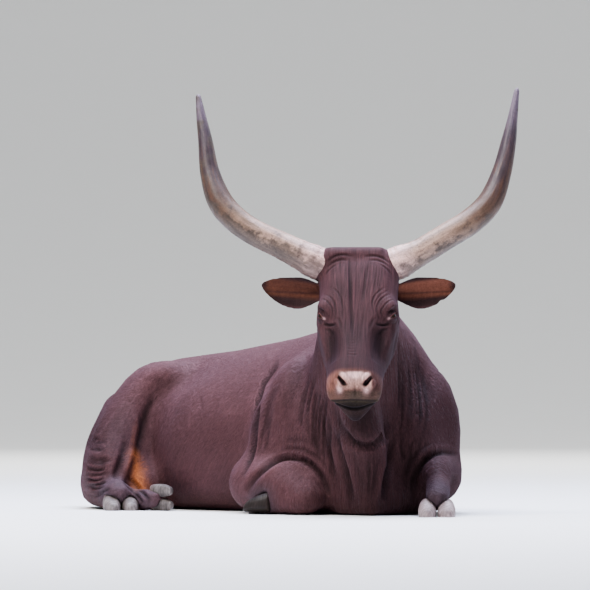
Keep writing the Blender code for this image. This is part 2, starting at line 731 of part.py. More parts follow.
def tail_parts():
    """The tail, laid round the rump on the floor, and its switch."""
    route = [(-0.815, 0.865, 0.390, TAIL_RADIUS * 1.40), (-0.872, 0.922, 0.335, TAIL_RADIUS * 1.15),
             (-0.893, 0.955, 0.215, TAIL_RADIUS), (-0.880, 0.990, 0.100, TAIL_RADIUS),
             (-0.840, 1.055, 0.030, TAIL_RADIUS * 0.9), (-0.740, 1.075, 0.012, TAIL_RADIUS * 0.82),
             (-0.640, 1.060, 0.010, TAIL_RADIUS * 0.75)]
    tail = tube("tail", route, rings=18, sides=8)
    brush = [(-0.635, 1.059, 0.010, 0.016), (-0.585, 1.040, 0.018, 0.027), (-0.520, 1.005, 0.020, 0.034),
             (-0.450, 0.965, 0.016, 0.028), (-0.400, 0.935, 0.008, 0.012)]
    switch = tube("tail_switch", brush, rings=8, sides=9, flatten=0.8)
    return tail, switch


def head_space(grow):
    """The prism that holds the head, its nape and throat sides moved out by a distance."""
    corners = [Vector(c) for c in HEAD_SPACE]
    nape, throat = (Vector((b.y - a.y, a.x - b.x)).normalized() for a, b in zip(corners, corners[1:3]))
    corners[0] += nape * grow
    corners[1] += (nape + throat) * grow / (1 + nape.dot(throat))
    corners[2] += throat * grow
    work = bmesh.new()
    for a, n in corners:
        for side in (-1, 1):
            work.verts.new(on_head(a, n, side * HEAD_SPACE_HALF))
    bmesh.ops.convex_hull(work, input=work.verts)
    mesh = bpy.data.meshes.new("head_space")
    work.to_mesh(mesh)
    work.free()
    return new_object("head_space", mesh)


def part_head(item, grow, operation):
    """Keep what lies in the head's prism, or take it away."""
    space = head_space(grow)
    carve(item, space, operation)
    remove(space)


def fit_into(parts, tight):
    """Hollow a seat for a solid in each of the given flesh parts, with the usual gap."""
    cutter = puffed(tight, "seat", GAP)
    for item in parts:
        carve(item, cutter)
    remove(cutter)


def finish(item, colour, roughness):
    """Weld, turn to the final frame, triangulate, shade smooth and colour one solid."""
    work = bmesh.new()
    work.from_mesh(item.data)
    bmesh.ops.remove_doubles(work, verts=work.verts, dist=2e-5)
    bmesh.ops.triangulate(work, faces=work.faces)
    bmesh.ops.transform(work, matrix=Matrix.Rotation(-TRUNK_TURN, 4, "Z"), verts=work.verts)
    bmesh.ops.recalc_face_normals(work, faces=work.faces)
    work.to_mesh(item.data)
    work.free()
    item.data.materials.clear()
    item.data.materials.append(material(item.name, colour, roughness))
    item.data.shade_smooth()


def build():
    """Make every solid, part the flesh and turn the animal to its final frame."""
    clear_scene()
    whole = fused("head", flesh_masses())

    # head, cut from a finer copy than the rest
    body = copy_of(whole, "trunk")
    head = whole
    part_head(head, SLACK, "INTERSECT")
    thin(head, HEAD_FACES)
    part_head(head, -CUT_HALF, "INTERSECT")
    part_head(body, -SLACK, "DIFFERENCE")
    thin(body, BODY_FACES)
    part_head(body, CUT_HALF, "DIFFERENCE")
    slice_off(body, (0, 0, FLOOR), (0, 0, -1))

    legs = {}
    for name, (centre, size, turn) in LEG_REGIONS.items():
        leg = copy_of(body, name)
        inside = box("inside", centre, size, turn)
        carve(leg, inside, "INTERSECT")
        outside = box("outside", centre, size, turn, grow=GAP * 2)
        carve(body, outside)
        remove(inside)
        remove(outside)
        legs[name] = leg

    neck = copy_of(body, "neck")
    withers, way_back = WITHERS
    slice_off(neck, withers - way_back * CUT_HALF, way_back)
    largest_body(neck)
    trunk = body
    slice_off(trunk, withers + way_back * CUT_HALF, -way_back)
    largest_body(trunk)

    horns = [horn("horn_right", HORN_RIGHT), horn("horn_left", HORN_LEFT)]
    ears = [ear("ear_right", -1), ear("ear_left", 1)]
    eyes = [blob(name, on_head(EYE_A, EYE_N, side * EYE_L), (EYE_RADIUS,) * 3, segments=EYE_SIDES)
            for name, side in (("eye_right", -1), ("eye_left", 1))]
    for item in horns + ears + eyes:
        fit_into([head], item)

    claws = []
    for prefix, (heel, ahead, up, apart) in FEET.items():
        claws += foot(prefix, heel, ahead, up, apart)
    for item in claws:
        slice_off(item, (0, 0, FLOOR), (0, 0, -1))
        fit_into([trunk, neck] + list(legs.values()), item)

    tail, switch = tail_parts()
    slice_off(tail, (0, 0, FLOOR), (0, 0, -1))
    slice_off(switch, (0, 0, FLOOR), (0, 0, -1))
    fit_into([trunk, switch], tail)
    fit_into([trunk], switch)

    for item in [head, neck, trunk, tail] + list(legs.values()) + ears:
        finish(item, FLESH_COLOUR, 0.6)
    for item in horns:
        finish(item, HORN_COLOUR, 0.45)
    for item in claws:
        finish(item, CLAW_COLOUR, 0.5)
    for item in eyes:
        finish(item, EYE_COLOUR, 0.1)
    finish(switch, SWITCH_COLOUR, 0.7)


if __name__ == "__main__":
    build()
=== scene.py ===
"""Looks of a life-size long-horned cow, lying down with its head raised.

One skin is fused from the solid parts and sculpted with folds, lids, nostrils and lips. Over it lie
tufts of short coat. Horns, eyes and claws are surfaces of their own. Metres, +Z up.

Two frames are used. The layout frame faces the way the head looks: x to the animal's left, y
backwards, z up. The model's frame is the layout turned about Z, so that the trunk lies along Y.
"""
import math

import bmesh
import bpy
import numpy as np
from mathutils import Matrix, Vector


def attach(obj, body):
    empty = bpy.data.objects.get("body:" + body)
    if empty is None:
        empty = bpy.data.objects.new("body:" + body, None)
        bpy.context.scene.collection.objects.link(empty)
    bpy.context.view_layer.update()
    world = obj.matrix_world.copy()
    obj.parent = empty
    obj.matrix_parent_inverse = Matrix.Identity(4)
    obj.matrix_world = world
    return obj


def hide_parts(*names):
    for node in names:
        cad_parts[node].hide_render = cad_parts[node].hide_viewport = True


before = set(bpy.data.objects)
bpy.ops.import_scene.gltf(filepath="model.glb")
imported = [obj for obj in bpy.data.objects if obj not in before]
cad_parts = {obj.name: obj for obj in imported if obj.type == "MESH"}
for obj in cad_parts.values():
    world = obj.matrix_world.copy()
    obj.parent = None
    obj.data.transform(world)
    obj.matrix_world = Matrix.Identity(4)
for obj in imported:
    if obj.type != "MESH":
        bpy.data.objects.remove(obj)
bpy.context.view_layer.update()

bl_info = {
    "name": "Resting long-horned cow",
    "version": (1, 0, 0),
    "blender": (4, 5, 0),
    "location": "3D View > Sidebar > Cow",
    "description": "Skin, coat, horns, claws and eyes of a long-horned cow lying down",
    "category": "Add Mesh",
}

TRUNK_TURN = math.radians(38.0)
TURN = np.array(Matrix.Rotation(-TRUNK_TURN, 3, "Z"))

# Head frame: l to the animal's left, n out of the face, a down the face from the poll
POLL = np.array((-0.081, -0.372, 0.806))
FACE_TILT = math.radians(32.5)
HEAD_YAW = math.radians(-5.0)
HEAD_AXES = np.array(Matrix.Rotation(HEAD_YAW, 3, "Z") @ Matrix.Rotation(-FACE_TILT, 3, "X")
                     @ Matrix.Diagonal((1.0, -1.0, -1.0)))

CAMERA = np.array((-0.275, -12.0, 0.314))       # in the layout frame
CAMERA_AIM = np.array((-0.275, 0.0, 0.681))
CAMERA_LENS = 234.3
SENSOR = 36.0

EYE_PLACE = (0.220, -0.040, 0.0990)             # a, n, l
EYE_RADIUS = 0.0195

FLESH = ("head", "neck", "trunk", "foreleg_left", "foreleg_right", "hindleg_left", "hindleg_right")
ROUGH_VOXEL = 0.008
FINE_VOXEL = 0.003
ROUGH_SMOOTHING = 46                            # rounds
FINE_SMOOTHING = 6
WEIGHT_STEPS = 20
SOLID_SWELL = 0.0010                            # closes the gaps between the solids
WELD_DISTANCE = 1e-5
SKIN_TRIANGLES = 196000
PIECE_LIMIT = 200000
COAT_DEPTH = 0.0015
BARE_NOSE = (0.425, 0.44)                       # down the face, where the hair ends


def to_world(points):
    """Layout points turned into the model's frame."""
    return np.asarray(points, float) @ TURN.T


def to_layout(points):
    """The model's points turned back into the layout frame."""
    return np.asarray(points, float) @ TURN


def from_head(a, n, l):
    """Layout points for places a down the face, n out of it and l to the left."""
    lna = np.stack(np.broadcast_arrays(l, n, a), -1).astype(float)
    return POLL + lna @ HEAD_AXES.T


def to_head(points):
    """Columns a, n, l of layout points."""
    lna = (points - POLL) @ HEAD_AXES
    return lna[:, 2], lna[:, 1], lna[:, 0]


def on_picture(points):
    """Where the camera sees layout points, carried to the plane y = 0: u to the left of the
    animal's breast line and v up from the floor."""
    share = CAMERA[1] / (CAMERA[1] - points[:, 1])
    u = CAMERA[0] + (points[:, 0] - CAMERA[0]) * share
    v = CAMERA[2] + (points[:, 2] - CAMERA[2]) * share
    return np.stack((u, v), 1)


def soft_step(value, low, high):
    """0 below low, 1 above high and a smooth rise between them."""
    t = np.clip((np.asarray(value, float) - low) / (high - low), 0.0, 1.0)
    return t * t * (3.0 - 2.0 * t)


def soft_fall(value, low, high):
    """1 below low, 0 above high and a smooth fall between them."""
    return 1 - soft_step(value, low, high)


def window(value, start, full, fall, end):
    """0 outside, with a smooth rise from start to full and a smooth fall from fall to end."""
    return soft_step(value, start, full) * soft_fall(value, fall, end)


def bell(distance, width):
    """1 at no distance, falling off as a bell curve of the given width."""
    return np.exp(-(distance / width) ** 2)


def in_metres(rows):
    """An array of lengths that are given in millimetres."""
    return np.asarray(rows, float) / 1000


def unit(vectors):
    """Vectors brought to length one."""
    length = np.linalg.norm(vectors, axis=-1, keepdims=True)
    return vectors / np.maximum(length, 1e-9)


def spline(points, count):
    """Points on a Catmull-Rom curve through the given ones, evenly spaced by their index."""
    rows = np.asarray(points, float)
    padded = np.vstack((2 * rows[0] - rows[1], rows, 2 * rows[-1] - rows[-2]))
    at = np.linspace(0, len(rows) - 1, count)
    k = np.minimum(at.astype(int), len(rows) - 2)
    t = (at - k)[:, None]
    p0, p1, p2, p3 = (padded[k + step] for step in range(4))
    return 0.5 * (2 * p1 + (p2 - p0) * t + (2 * p0 - 5 * p1 + 4 * p2 - p3) * t ** 2
                  + (3 * p1 - p0 - 3 * p2 + p3) * t ** 3)


def grid_faces(rows, columns, wrap):
    """Quads between the rows of a grid; wrap joins the last column to the first."""
    r, c = np.meshgrid(np.arange(rows - 1), np.arange(columns if wrap else columns - 1), indexing="ij")
    nxt = (c + 1) % columns
    quads = (r * columns + c, r * columns + nxt, (r + 1) * columns + nxt, (r + 1) * columns + c)
    return np.stack(quads, -1).reshape(-1, 4)


def new_piece(name, points, faces):
    """A linked, smooth object with the given mesh, its place in the mesh."""
    mesh = bpy.data.meshes.new(name)
    if isinstance(faces, np.ndarray):
        faces = faces.tolist()
    mesh.from_pydata(np.asarray(points).tolist(), [], faces)
    mesh.update()
    mesh.shade_smooth()
    piece = bpy.data.objects.new(name, mesh)
    bpy.context.scene.collection.objects.link(piece)
    return piece


def closed_grid(grid):
    """Points and faces of a grid of rings, with a point at each end to close it."""
    rows, columns = grid.shape[:2]
    points = np.vstack((grid.reshape(-1, 3), grid[0].mean(0), grid[-1].mean(0)))
    here = np.arange(columns)
    ahead = (here + 1) % columns
    base = (rows - 1) * columns
    first = np.stack((np.full(columns, rows * columns), ahead, here), 1)
    last = np.stack((np.full(columns, rows * columns + 1), base + here, base + ahead), 1)
    caps = np.stack((first, last), 1).reshape(-1, 3)
    return points, grid_faces(rows, columns, True).tolist() + caps.tolist()


def face_outwards(piece):
    """Recalculate a closed mesh's normals so that they point out."""
    work = bmesh.new()
    work.from_mesh(piece.data)
    bmesh.ops.recalc_face_normals(work, faces=work.faces)
    if work.calc_volume(signed=True) < 0:
        bmesh.ops.reverse_faces(work, faces=work.faces)
    work.to_mesh(piece.data)
    work.free()


def points_of(mesh):
    """A mesh's points as an array."""
    co = np.empty(len(mesh.vertices) * 3, np.float32)
    mesh.vertices.foreach_get("co", co)
    return co.reshape(-1, 3).astype(float)


def normals_of(mesh):
    """A mesh's point normals as an array."""
    out = np.empty(len(mesh.vertices) * 3, np.float32)
    mesh.vertex_normals.foreach_get("vector", out)
    return out.reshape(-1, 3).astype(float)


def move_points(mesh, points):
    """Put an array back as a mesh's points."""
    mesh.vertices.foreach_set("co", np.ascontiguousarray(points, np.float32).ravel())
    mesh.update()


def apply_modifiers(piece):
    """Bake an object's modifiers into its mesh."""
    depsgraph = bpy.context.evaluated_depsgraph_get()
    mesh = bpy.data.meshes.new_from_object(piece.evaluated_get(depsgraph))
    old = piece.data
    piece.modifiers.clear()
    piece.data = mesh
    bpy.data.meshes.remove(old)


def weigh(piece, name, weights):
    """Give an object's points weights in a group, in even steps."""
    group = piece.vertex_groups.new(name=name)
    steps = np.round(np.clip(weights, 0, 1) * WEIGHT_STEPS).astype(int)
    for step in np.unique(steps):
        group.add(np.flatnonzero(steps == step).tolist(), step / WEIGHT_STEPS, "REPLACE")


def remesh(piece, voxel):
    """One closed surface round everything in the mesh."""
    modifier = piece.modifiers.new("fuse", "REMESH")
    modifier.mode = "VOXEL"
    modifier.voxel_size = voxel
    modifier.adaptivity = 0.0
    apply_modifiers(piece)


def smooth(piece, steps, weights=None):
    """Even out a mesh, by as much at each point as its weight says."""
    modifier = piece.modifiers.new("smooth", "SMOOTH")
    modifier.factor = 0.5
    modifier.iterations = steps
    if weights is not None:
        piece.vertex_groups.clear()
        weigh(piece, "smooth", weights)
        modifier.vertex_group = "smooth"
    apply_modifiers(piece)


def tube(path, radii, sides, flatten=1.0):
    """Rings carried along a path without twist: at each station a circle of the given radius,
    squeezed by flatten."""
    path = np.asarray(path, float)
    ahead = unit(np.gradient(path, axis=0))
    side = np.empty_like(path)
    here = Vector(ahead[0]).cross(Vector((0, 0, 1))).normalized()
    before = Vector(ahead[0])
    for k, way in enumerate(ahead):
        now = Vector(way)
        here = (before.rotation_difference(now) @ here).normalized()
        before = now
        side[k] = here
    up = np.cross(side, ahead)
    angle = np.linspace(0, 2 * np.pi, sides, endpoint=False)
    radii = np.asarray(radii)[:, None, None]
    wide = np.cos(angle)[None, :, None] * side[:, None] * radii
    high = np.sin(angle)[None, :, None] * up[:, None] * radii * flatten
    return path[:, None] + wide + high


# Colours that the skin and its tufts share, in linear light
CHESTNUT = (0.083, 0.038, 0.040)
PAINTED_SKY_SHEEN = np.array((0.128, 0.068, 0.076))      # painted sheen of the sky on upper surfaces, paler and bluer
# darker coat, and painted shade on the pouch's top, the thigh, the low left shoulder, the nose's hollows and
# the head's sides
DARK_COAT_AND_SHADE = np.array((0.026, 0.013, 0.014))
# tan skin of the groin, with painted light
LIT_TAN_SKIN = np.array((0.300, 0.100, 0.036))
NOSE_PALE = np.array((0.700, 0.440, 0.410))
NOSE_PINK = np.array((0.310, 0.180, 0.145))
# brown of the muzzle, painted lighter on the side where the light falls
LIT_MUZZLE_BROWN = np.array((0.190, 0.084, 0.062))
LIP_DARK = np.array((0.062, 0.040, 0.028))
LIP_EDGE = np.array((0.026, 0.020, 0.009))
# painted shade along the mouth, below it and under the chin
MOUTH_AND_CHIN_SHADE = np.array((0.010, 0.006, 0.006))
# painted shade inside the nostrils
NOSTRIL_SHADE = np.array((0.012, 0.007, 0.007))
EAR_INSIDE = np.array((0.150, 0.058, 0.038))
EAR_RIM = np.array((0.034, 0.018, 0.018))
PASTERN = np.array((0.060, 0.042, 0.050))
LID_PALE = np.array((0.420, 0.270, 0.270))
LID_PINK = np.array((0.260, 0.105, 0.095))

# Ears by side, -1 the right and 1 the left, in the layout frame
EAR_ROOTS = {-1: (POLL[0] - 0.100, -0.330, 0.680), 1: (POLL[0] + 0.100, -0.330, 0.680)}
EAR_TIPS = {-1: (POLL[0] - 0.296, -0.300, 0.702), 1: (POLL[0] + 0.296, -0.300, 0.702)}
EAR_WIDTH = 0.096
# painted shade on the inside of the right ear and painted light on the left
EAR_LIGHT_AND_SHADE = {-1: 0.75, 1: 1.30}


def near_ear(points, side):
    """How far along the ear layout points lie, 0 at the root and 1 at the tip, and how far out."""
    root, tip = np.array(EAR_ROOTS[side]), np.array(EAR_TIPS[side])
    line = tip - root
    along = ((points - root) @ line) / (line @ line)
    away = np.linalg.norm(points - root - np.clip(along, 0, 1)[:, None] * line, axis=1)
    return along, away


def head_share(points):
    """1 on the head, ears included, and 0 on the neck and body."""
    a, n, l = to_head(points)
    behind = soft_step(-n, 0.16, 0.24) * soft_step(0.30 - a, 0.0, 0.12)
    inside = window(a, -0.06, -0.03, 0.53, 0.56)
    near = soft_fall(np.abs(l), 0.20, 0.26)
    share = inside * near * (1 - behind) * soft_fall(-n, 0.21, 0.26)
    for side in (-1, 1):
        along, away = near_ear(points, side)
        share = np.maximum(share, soft_step(along, 0.0, 0.15) * soft_fall(away, 0.060, 0.075))
    return share


def mixed_in(colour, other, amount):
    """A colour array moved towards another colour by an amount at each point."""
    return colour + (other - colour) * np.clip(amount, 0, 1)[:, None]


def path_distance(place, line):
    """Distance of places from a line of points, and how far along it their nearest point lies."""
    best = np.full(len(place), np.inf)
    at = np.zeros(len(place))
    for k in range(len(line) - 1):
        step = line[k + 1] - line[k]
        t = np.clip(((place - line[k]) @ step) / max(step @ step, 1e-12), 0, 1)
        distance = np.linalg.norm(place - line[k] - t[:, None] * step, axis=1)
        closer = distance < best
        best[closer] = distance[closer]
        at[closer] = (k + t[closer]) / (len(line) - 1)
    return best, at


NOSTRIL = ((0.451, 0.052), (0.461, 0.045), (0.470, 0.037), (0.476, 0.030))
NOSE_MIDDLE = 0.004
NOSE_START = 0.43                               # down the face
FOLD_SHADE = 0.0034

# Places as the camera sees them: u from the breast line, v up from the floor
POUCH = (-0.066, 0.268)
THIGH = (-0.870, 0.260)
GROIN_LINE = -0.778
# the way the groin faces where it gets its painted light
GROIN_WAY = unit(np.array((-0.3, -1.0, 0.0)))
LIP_TOP = 0.392
LIP_BOTTOM = 0.357
MOUTH_MIDDLE = (-0.092, 0.3495)
PALE_SPOTS = ((-0.137, 0.384), (-0.053, 0.384))


def body_layers(points, normals, n, u, v, head):
    """Body colours and their amounts: a painted sky sheen above, darker low on the breast, painted
    shade on the left shoulder, the throat pouch and the thigh, and tan skin in the groin with painted light."""
    x, y, z = points.T
    body = 1 - head
    # painted sheen of the sky: paler and bluer where the skin faces up
    upper = soft_step(normals[:, 2], 0.05, 0.85) * body
    breast = bell(x + 0.03, 0.22) * bell(y + 0.30, 0.22) * soft_fall(z, 0.45, 0.62) * body
    shadow = soft_step(x, 0.02, 0.16) * soft_fall(z, 0.30, 0.60) * body
    # painted shade on the top of the throat pouch, below the chin
    pouch = bell(np.hypot(u - POUCH[0], v - POUCH[1]), 0.062) * (y < 0) * soft_step(-n, 0.125, 0.15)
    # painted shade on the thigh
    thigh = bell(np.hypot((u - THIGH[0]) * 0.8, v - THIGH[1]), 0.125) * (x < 0)
    low = np.clip((0.215 - v) / 0.15, 0, 1)
    # tan skin in the groin, with painted light where it faces forward
    groin = bell(u - GROIN_LINE - 0.018 * low, 0.007 + 0.026 * low) * soft_fall(v, 0.19, 0.22)
    groin = groin * window(y, 0.30, 0.36, 0.70, 0.80) * soft_step(normals @ GROIN_WAY, -0.1, 0.3)
    return [(PAINTED_SKY_SHEEN, 0.45 * upper), (DARK_COAT_AND_SHADE, 0.45 * breast), (DARK_COAT_AND_SHADE, 0.40 * shadow),
            (DARK_COAT_AND_SHADE, 0.85 * pouch), (DARK_COAT_AND_SHADE, 0.62 * thigh), (LIT_TAN_SKIN, 0.95 * groin)]


def face_layers(a, l, head, face):
    """Darker over the head and down the face, with painted shade at its sides, on its left side and in
    the hollows beside the nose.
    """
    down = soft_step(a, 0.16, 0.34)
    # painted shade on the left side of the face, away from the light
    left = soft_step(l, 0.03, 0.08) * soft_step(a, 0.20, 0.30)
    # painted shade in the hollows beside the nose
    hollow = bell(np.abs(l) - 0.070, 0.018) * window(a, 0.24, 0.28, 0.38, 0.42)
    # the first amount darkens the whole head, more where it turns from the front: that extra is painted shade
    amounts = (0.55 - 0.30 * face, 0.52 * down, 0.30 * left, 0.55 * hollow)
    return [(DARK_COAT_AND_SHADE, head * amount) for amount in amounts]


def muzzle_layers(a, n, l, u, v, normals, head, face):
    """Brown muzzle with painted light on its right, pink pad with a pale top and two pale spots, dark lips,
    and painted shade along the mouth, in the nostrils and under the chin.
    """
    snout = head * window(a, 0.420, 0.446, 0.512, 0.524) * soft_step(n, -0.155, -0.135)
    front = snout * soft_step(-normals[:, 1], 0.0, 0.3) * soft_step(n, -0.110, -0.090)
    across = l - NOSE_MIDDLE
    # brown muzzle with painted light: stronger on its right side, where the light falls
    brown = snout * (0.25 + 0.65 * soft_step(-across, -0.060, 0.060))
    pad = snout * window(a, NOSE_START, 0.446, 0.478, 0.492) * face
    pad = pad * soft_fall(np.abs(across) - 0.10 * (a - NOSE_START), 0.041, 0.051)
    top = pad * bell(a - 0.449, 0.013) * bell(across, 0.040)
    lip = front * soft_step(LIP_TOP - v, 0.0, 0.016) * (0.55 + 0.45 * bell(across, 0.034))
    edge = front * soft_step(LIP_BOTTOM - v, 0.0, 0.005)
    # painted shade: a dark line where the lips meet, and darker below it
    arch = MOUTH_MIDDLE[1] + 0.004 * bell(u - MOUTH_MIDDLE[0], 0.045)
    mouth = bell(v - arch, 0.0026) * window(u, -0.176, -0.168, -0.026, -0.018) * front
    below = soft_step(arch - 0.004 - v, 0.0, 0.006) * front
    # painted shade under the chin
    chin = head * soft_step(a, 0.40, 0.46) * soft_step(-n, 0.084, 0.094)
    layers = [(LIT_MUZZLE_BROWN, brown), (NOSE_PINK, pad), (NOSE_PALE, top), (LIP_DARK, lip),
              (LIP_EDGE, 0.85 * edge), (MOUTH_AND_CHIN_SHADE, 0.95 * mouth), (MOUTH_AND_CHIN_SHADE, 0.70 * below)]
    for spot_u, spot_v in PALE_SPOTS:
        away = np.hypot(u - spot_u, (v - spot_v) * 0.8)
        layers.append((NOSE_PALE, 0.60 * snout * bell(away, 0.0095)))
    # painted shade inside each nostril
    for side in (-1, 1):
        away, _ = path_distance(np.stack((a, across * side), 1), np.array(NOSTRIL) - (0.0, NOSE_MIDDLE))
        layers.append((NOSTRIL_SHADE, 0.97 * bell(away, 0.0032) * face * head))
    return layers + [(MOUTH_AND_CHIN_SHADE, 0.85 * chin)]


def ear_layers(points, normals, head, side):
    """A dark rim round an orange inside, with two dark ridges along it; the inside has painted shade
    in the right ear and painted light in the left.
    """
    along, away = near_ear(points, side)
    ear = soft_step(along, 0.05, 0.15) * soft_fall(away, 0.050, 0.062) * head
    inside = ear * soft_step(-normals[:, 1], 0.05, 0.35) * soft_fall(away, 0.020, 0.037)
    inside = inside * soft_fall(along, 0.84, 0.98)
    up = points[:, 2] - EAR_ROOTS[side][2] + 0.006
    inside = inside * (1 - 0.55 * bell(up - 0.009 * along, 0.0035) - 0.45 * bell(up + 0.014, 0.0035))
    return [(EAR_RIM, 0.8 * ear), (EAR_INSIDE * EAR_LIGHT_AND_SHADE[side], inside)]


def lid_layers(points, side):
    """Darker round the eye, pink edges of the lids and a pale inner corner."""
    x, y, z, half = eye_chart(points, side)
    near = soft_step(z, -0.010, 0.0)
    socket = bell(np.hypot(x, y * 1.3) - 0.014, 0.014) * near
    rim = bell(np.abs(y + 0.001) - half, 0.0022) * (np.abs(x) < SLIT_HALF + 0.004) * near
    corner = bell(np.hypot(x - SLIT_HALF - 0.001, y + 0.002), 0.0034) * near
    rim = rim * np.where(y < 0, 0.65, 0.12)
    return [(DARK_COAT_AND_SHADE, 0.70 * socket), (LID_PINK, rim), (LID_PALE, 0.8 * corner)]


def markings(points, normals, fold):
    """The animal's colours at layout points: a wavering chestnut, mixed in turn with each layer's
    colour by its amount, then darkened in grooves as painted shade and lightened on ridges as a painted
    highlight."""
    a, n, l = to_head(points)
    u, v = on_picture(points).T
    head = head_share(points)
    face = soft_step(normals @ HEAD_AXES[:, 1], -0.1, 0.45)
    layers = body_layers(points, normals, n, u, v, head) + face_layers(a, l, head, face)
    layers += muzzle_layers(a, n, l, u, v, normals, head, face)
    for side in (-1, 1):
        layers += ear_layers(points, normals, head, side) + lid_layers(points, side)
    for place, reach in FEET_SPOTS:
        away = np.linalg.norm(points - place, axis=1)
        layers.append((PASTERN, 0.7 * soft_fall(away, reach * 0.4, reach) * (1 - head)))
    x, y, z = points.T
    wave = np.sin(x * 9.0 + 1.7 * np.sin(y * 7.0)) * np.cos(z * 8.0)
    colour = np.array(bpy.context.scene.cow_coat.colour) * (1 + 0.12 * wave[:, None])
    for other, amount in layers:
        colour = mixed_in(colour, other, amount)
    # painted shade in the grooves of folds and a painted highlight on their ridges
    groove = 1 - np.exp(-np.clip(fold, 0, None) / FOLD_SHADE)
    ridge = 1 - np.exp(-np.clip(-fold, 0, None) / FOLD_SHADE)
    return colour * (1 - 0.72 * groove + 0.35 * ridge)[:, None]


# Feet: where the pastern's grey has its middle, and its reach
FEET_SPOTS = (
    (np.array((-0.365, -0.145, 0.03)), 0.10),
    (np.array((0.155, -0.420, 0.05)), 0.10),
    (np.array((-0.845, 0.350, 0.05)), 0.11),
    (np.array((-0.745, 0.305, 0.04)), 0.08),
)


# Folds in millimetres: lines on a chart, the width of the groove and its depth, a ridge below 0.
# Charts: picture (u, v), face (a, l), side (a, n), lip (l, n) and flank (y, z of the model)
BODY_FOLDS = (
    # behind the right elbow and up over the shoulder blade
    ([(-318, 478), (-378, 392), (-396, 288), (-408, 184), (-440, 116)], 6.8, 12.5),
    ([(-350, 470), (-420, 380), (-440, 290), (-455, 190)], 34, 6),
    ([(-300, 440), (-345, 370), (-362, 280), (-366, 200)], 9, 4.5),
    ([(-225, 540), (-258, 430), (-296, 330), (-318, 230)], 18, 6),
    # round the folded right forearm
    ([(-428, 70), (-390, 118), (-338, 159), (-288, 173), (-234, 160), (-190, 116),
      (-166, 50)], 9.5, 16),
    ([(-400, 85), (-345, 132), (-288, 148), (-240, 135), (-205, 90)], 20, -5),
    ([(-330, 192), (-280, 205), (-225, 190), (-180, 150)], 8, 4),
    ([(-320, 222), (-265, 232), (-210, 214)], 8, 2.8),
    # throat pouch and dewlap
    ([(-153, 345), (-134, 278), (-100, 228), (-45, 208), (0, 240), (16, 300)],
     11, 13),
    ([(-120, 300), (-90, 262), (-45, 245), (-10, 268)], 18, -7),
    ([(-150, 270), (-133, 197), (-110, 119), (-98, 35)], 9.5, 14),
    ([(-128, 256), (-108, 181), (-88, 103), (-76, 35)], 8, -6),
    ([(4, 225), (0, 159), (-14, 88), (-18, 35)], 8, -5),
    ([(30, 255), (20, 165), (6, 98), (2, 35)], 10, 13),
    ([(50, 300), (60, 220), (52, 140), (45, 60)], 24, 9),
    # round the raised left knee and forearm
    ([(86, 35), (96, 110), (124, 160), (172, 190), (232, 184)], 9.5, 15),
    ([(112, 45), (120, 105), (146, 145), (186, 165)], 13, -4.5),
    ([(62, 60), (74, 130), (105, 190), (150, 222)], 8.5, 5),
    ([(215, 128), (222, 105), (216, 80)], 8, 6),
    # right thigh: its front edge up to the hollow before the hip
    ([(-528, 480), (-600, 438), (-680, 398), (-734, 345), (-752, 259), (-772, 180)],
     30, 17),
    ([(-718, 372), (-746, 310), (-754, 240), (-768, 165)], 10.5, 15),
    ([(-640, 470), (-700, 440), (-760, 430)], 30, -6),
    ([(-802, 235), (-818, 166), (-840, 105)], 10, 10),
    ([(-784, 205), (-796, 150), (-812, 95)], 8, -6),
    ([(-900, 230), (-880, 170), (-878, 110)], 12, 4),
)

# Families of like folds between two lines on a chart: first line, last line, count, width, depth
BODY_FAMILIES = (
    # breast, from the right shoulder to the throat
    ([(-212, 500), (-244, 400), (-262, 290), (-225, 190)],
     [(-155, 330), (-165, 240), (-152, 150), (-130, 60)], 13, 4.6, 6.6),
    # beside the crease behind the elbow
    ([(-352, 446), (-404, 350), (-420, 250), (-436, 170)],
     [(-300, 400), (-340, 320), (-352, 240), (-372, 180)], 5, 4.6, 4.2),
    # left side of the neck
    ([(40, 560), (46, 440), (44, 320), (30, 200)],
     [(104, 540), (132, 420), (146, 310), (130, 210)], 15, 4.4, 4.4),
    # down the dewlap
    ([(-100, 200), (-86, 140), (-68, 80), (-58, 30)],
     [(-6, 200), (-10, 140), (-20, 80), (-26, 30)], 6, 4.5, 2.8),
    # towards the left elbow
    ([(45, 260), (58, 165), (66, 72)],
     [(130, 232), (110, 176), (92, 110)], 5, 5.5, 5),
    # on the left forearm, round the knee
    ([(105, 60), (116, 105), (138, 140), (170, 155)],
     [(70, 50), (80, 110), (108, 165), (150, 195)], 5, 4, 3),
    # over the flexed hock and shin
    ([(-935, 190), (-890, 172), (-832, 192)],
     [(-940, 50), (-895, 46), (-850, 66)], 10, 5, 8.5),
    ([(-930, 262), (-895, 246), (-850, 255)],
     [(-935, 200), (-895, 190), (-850, 200)], 5, 5.5, 5),
    # groin
    ([(-790, 120), (-752, 78), (-714, 30)],
     [(-814, 92), (-782, 58), (-754, 22)], 5, 4.5, 5),
    # flank, faint
    ([(-700, 400), (-690, 280), (-680, 150)],
     [(-470, 430), (-480, 300), (-490, 160)], 9, 15, 1.6),
)

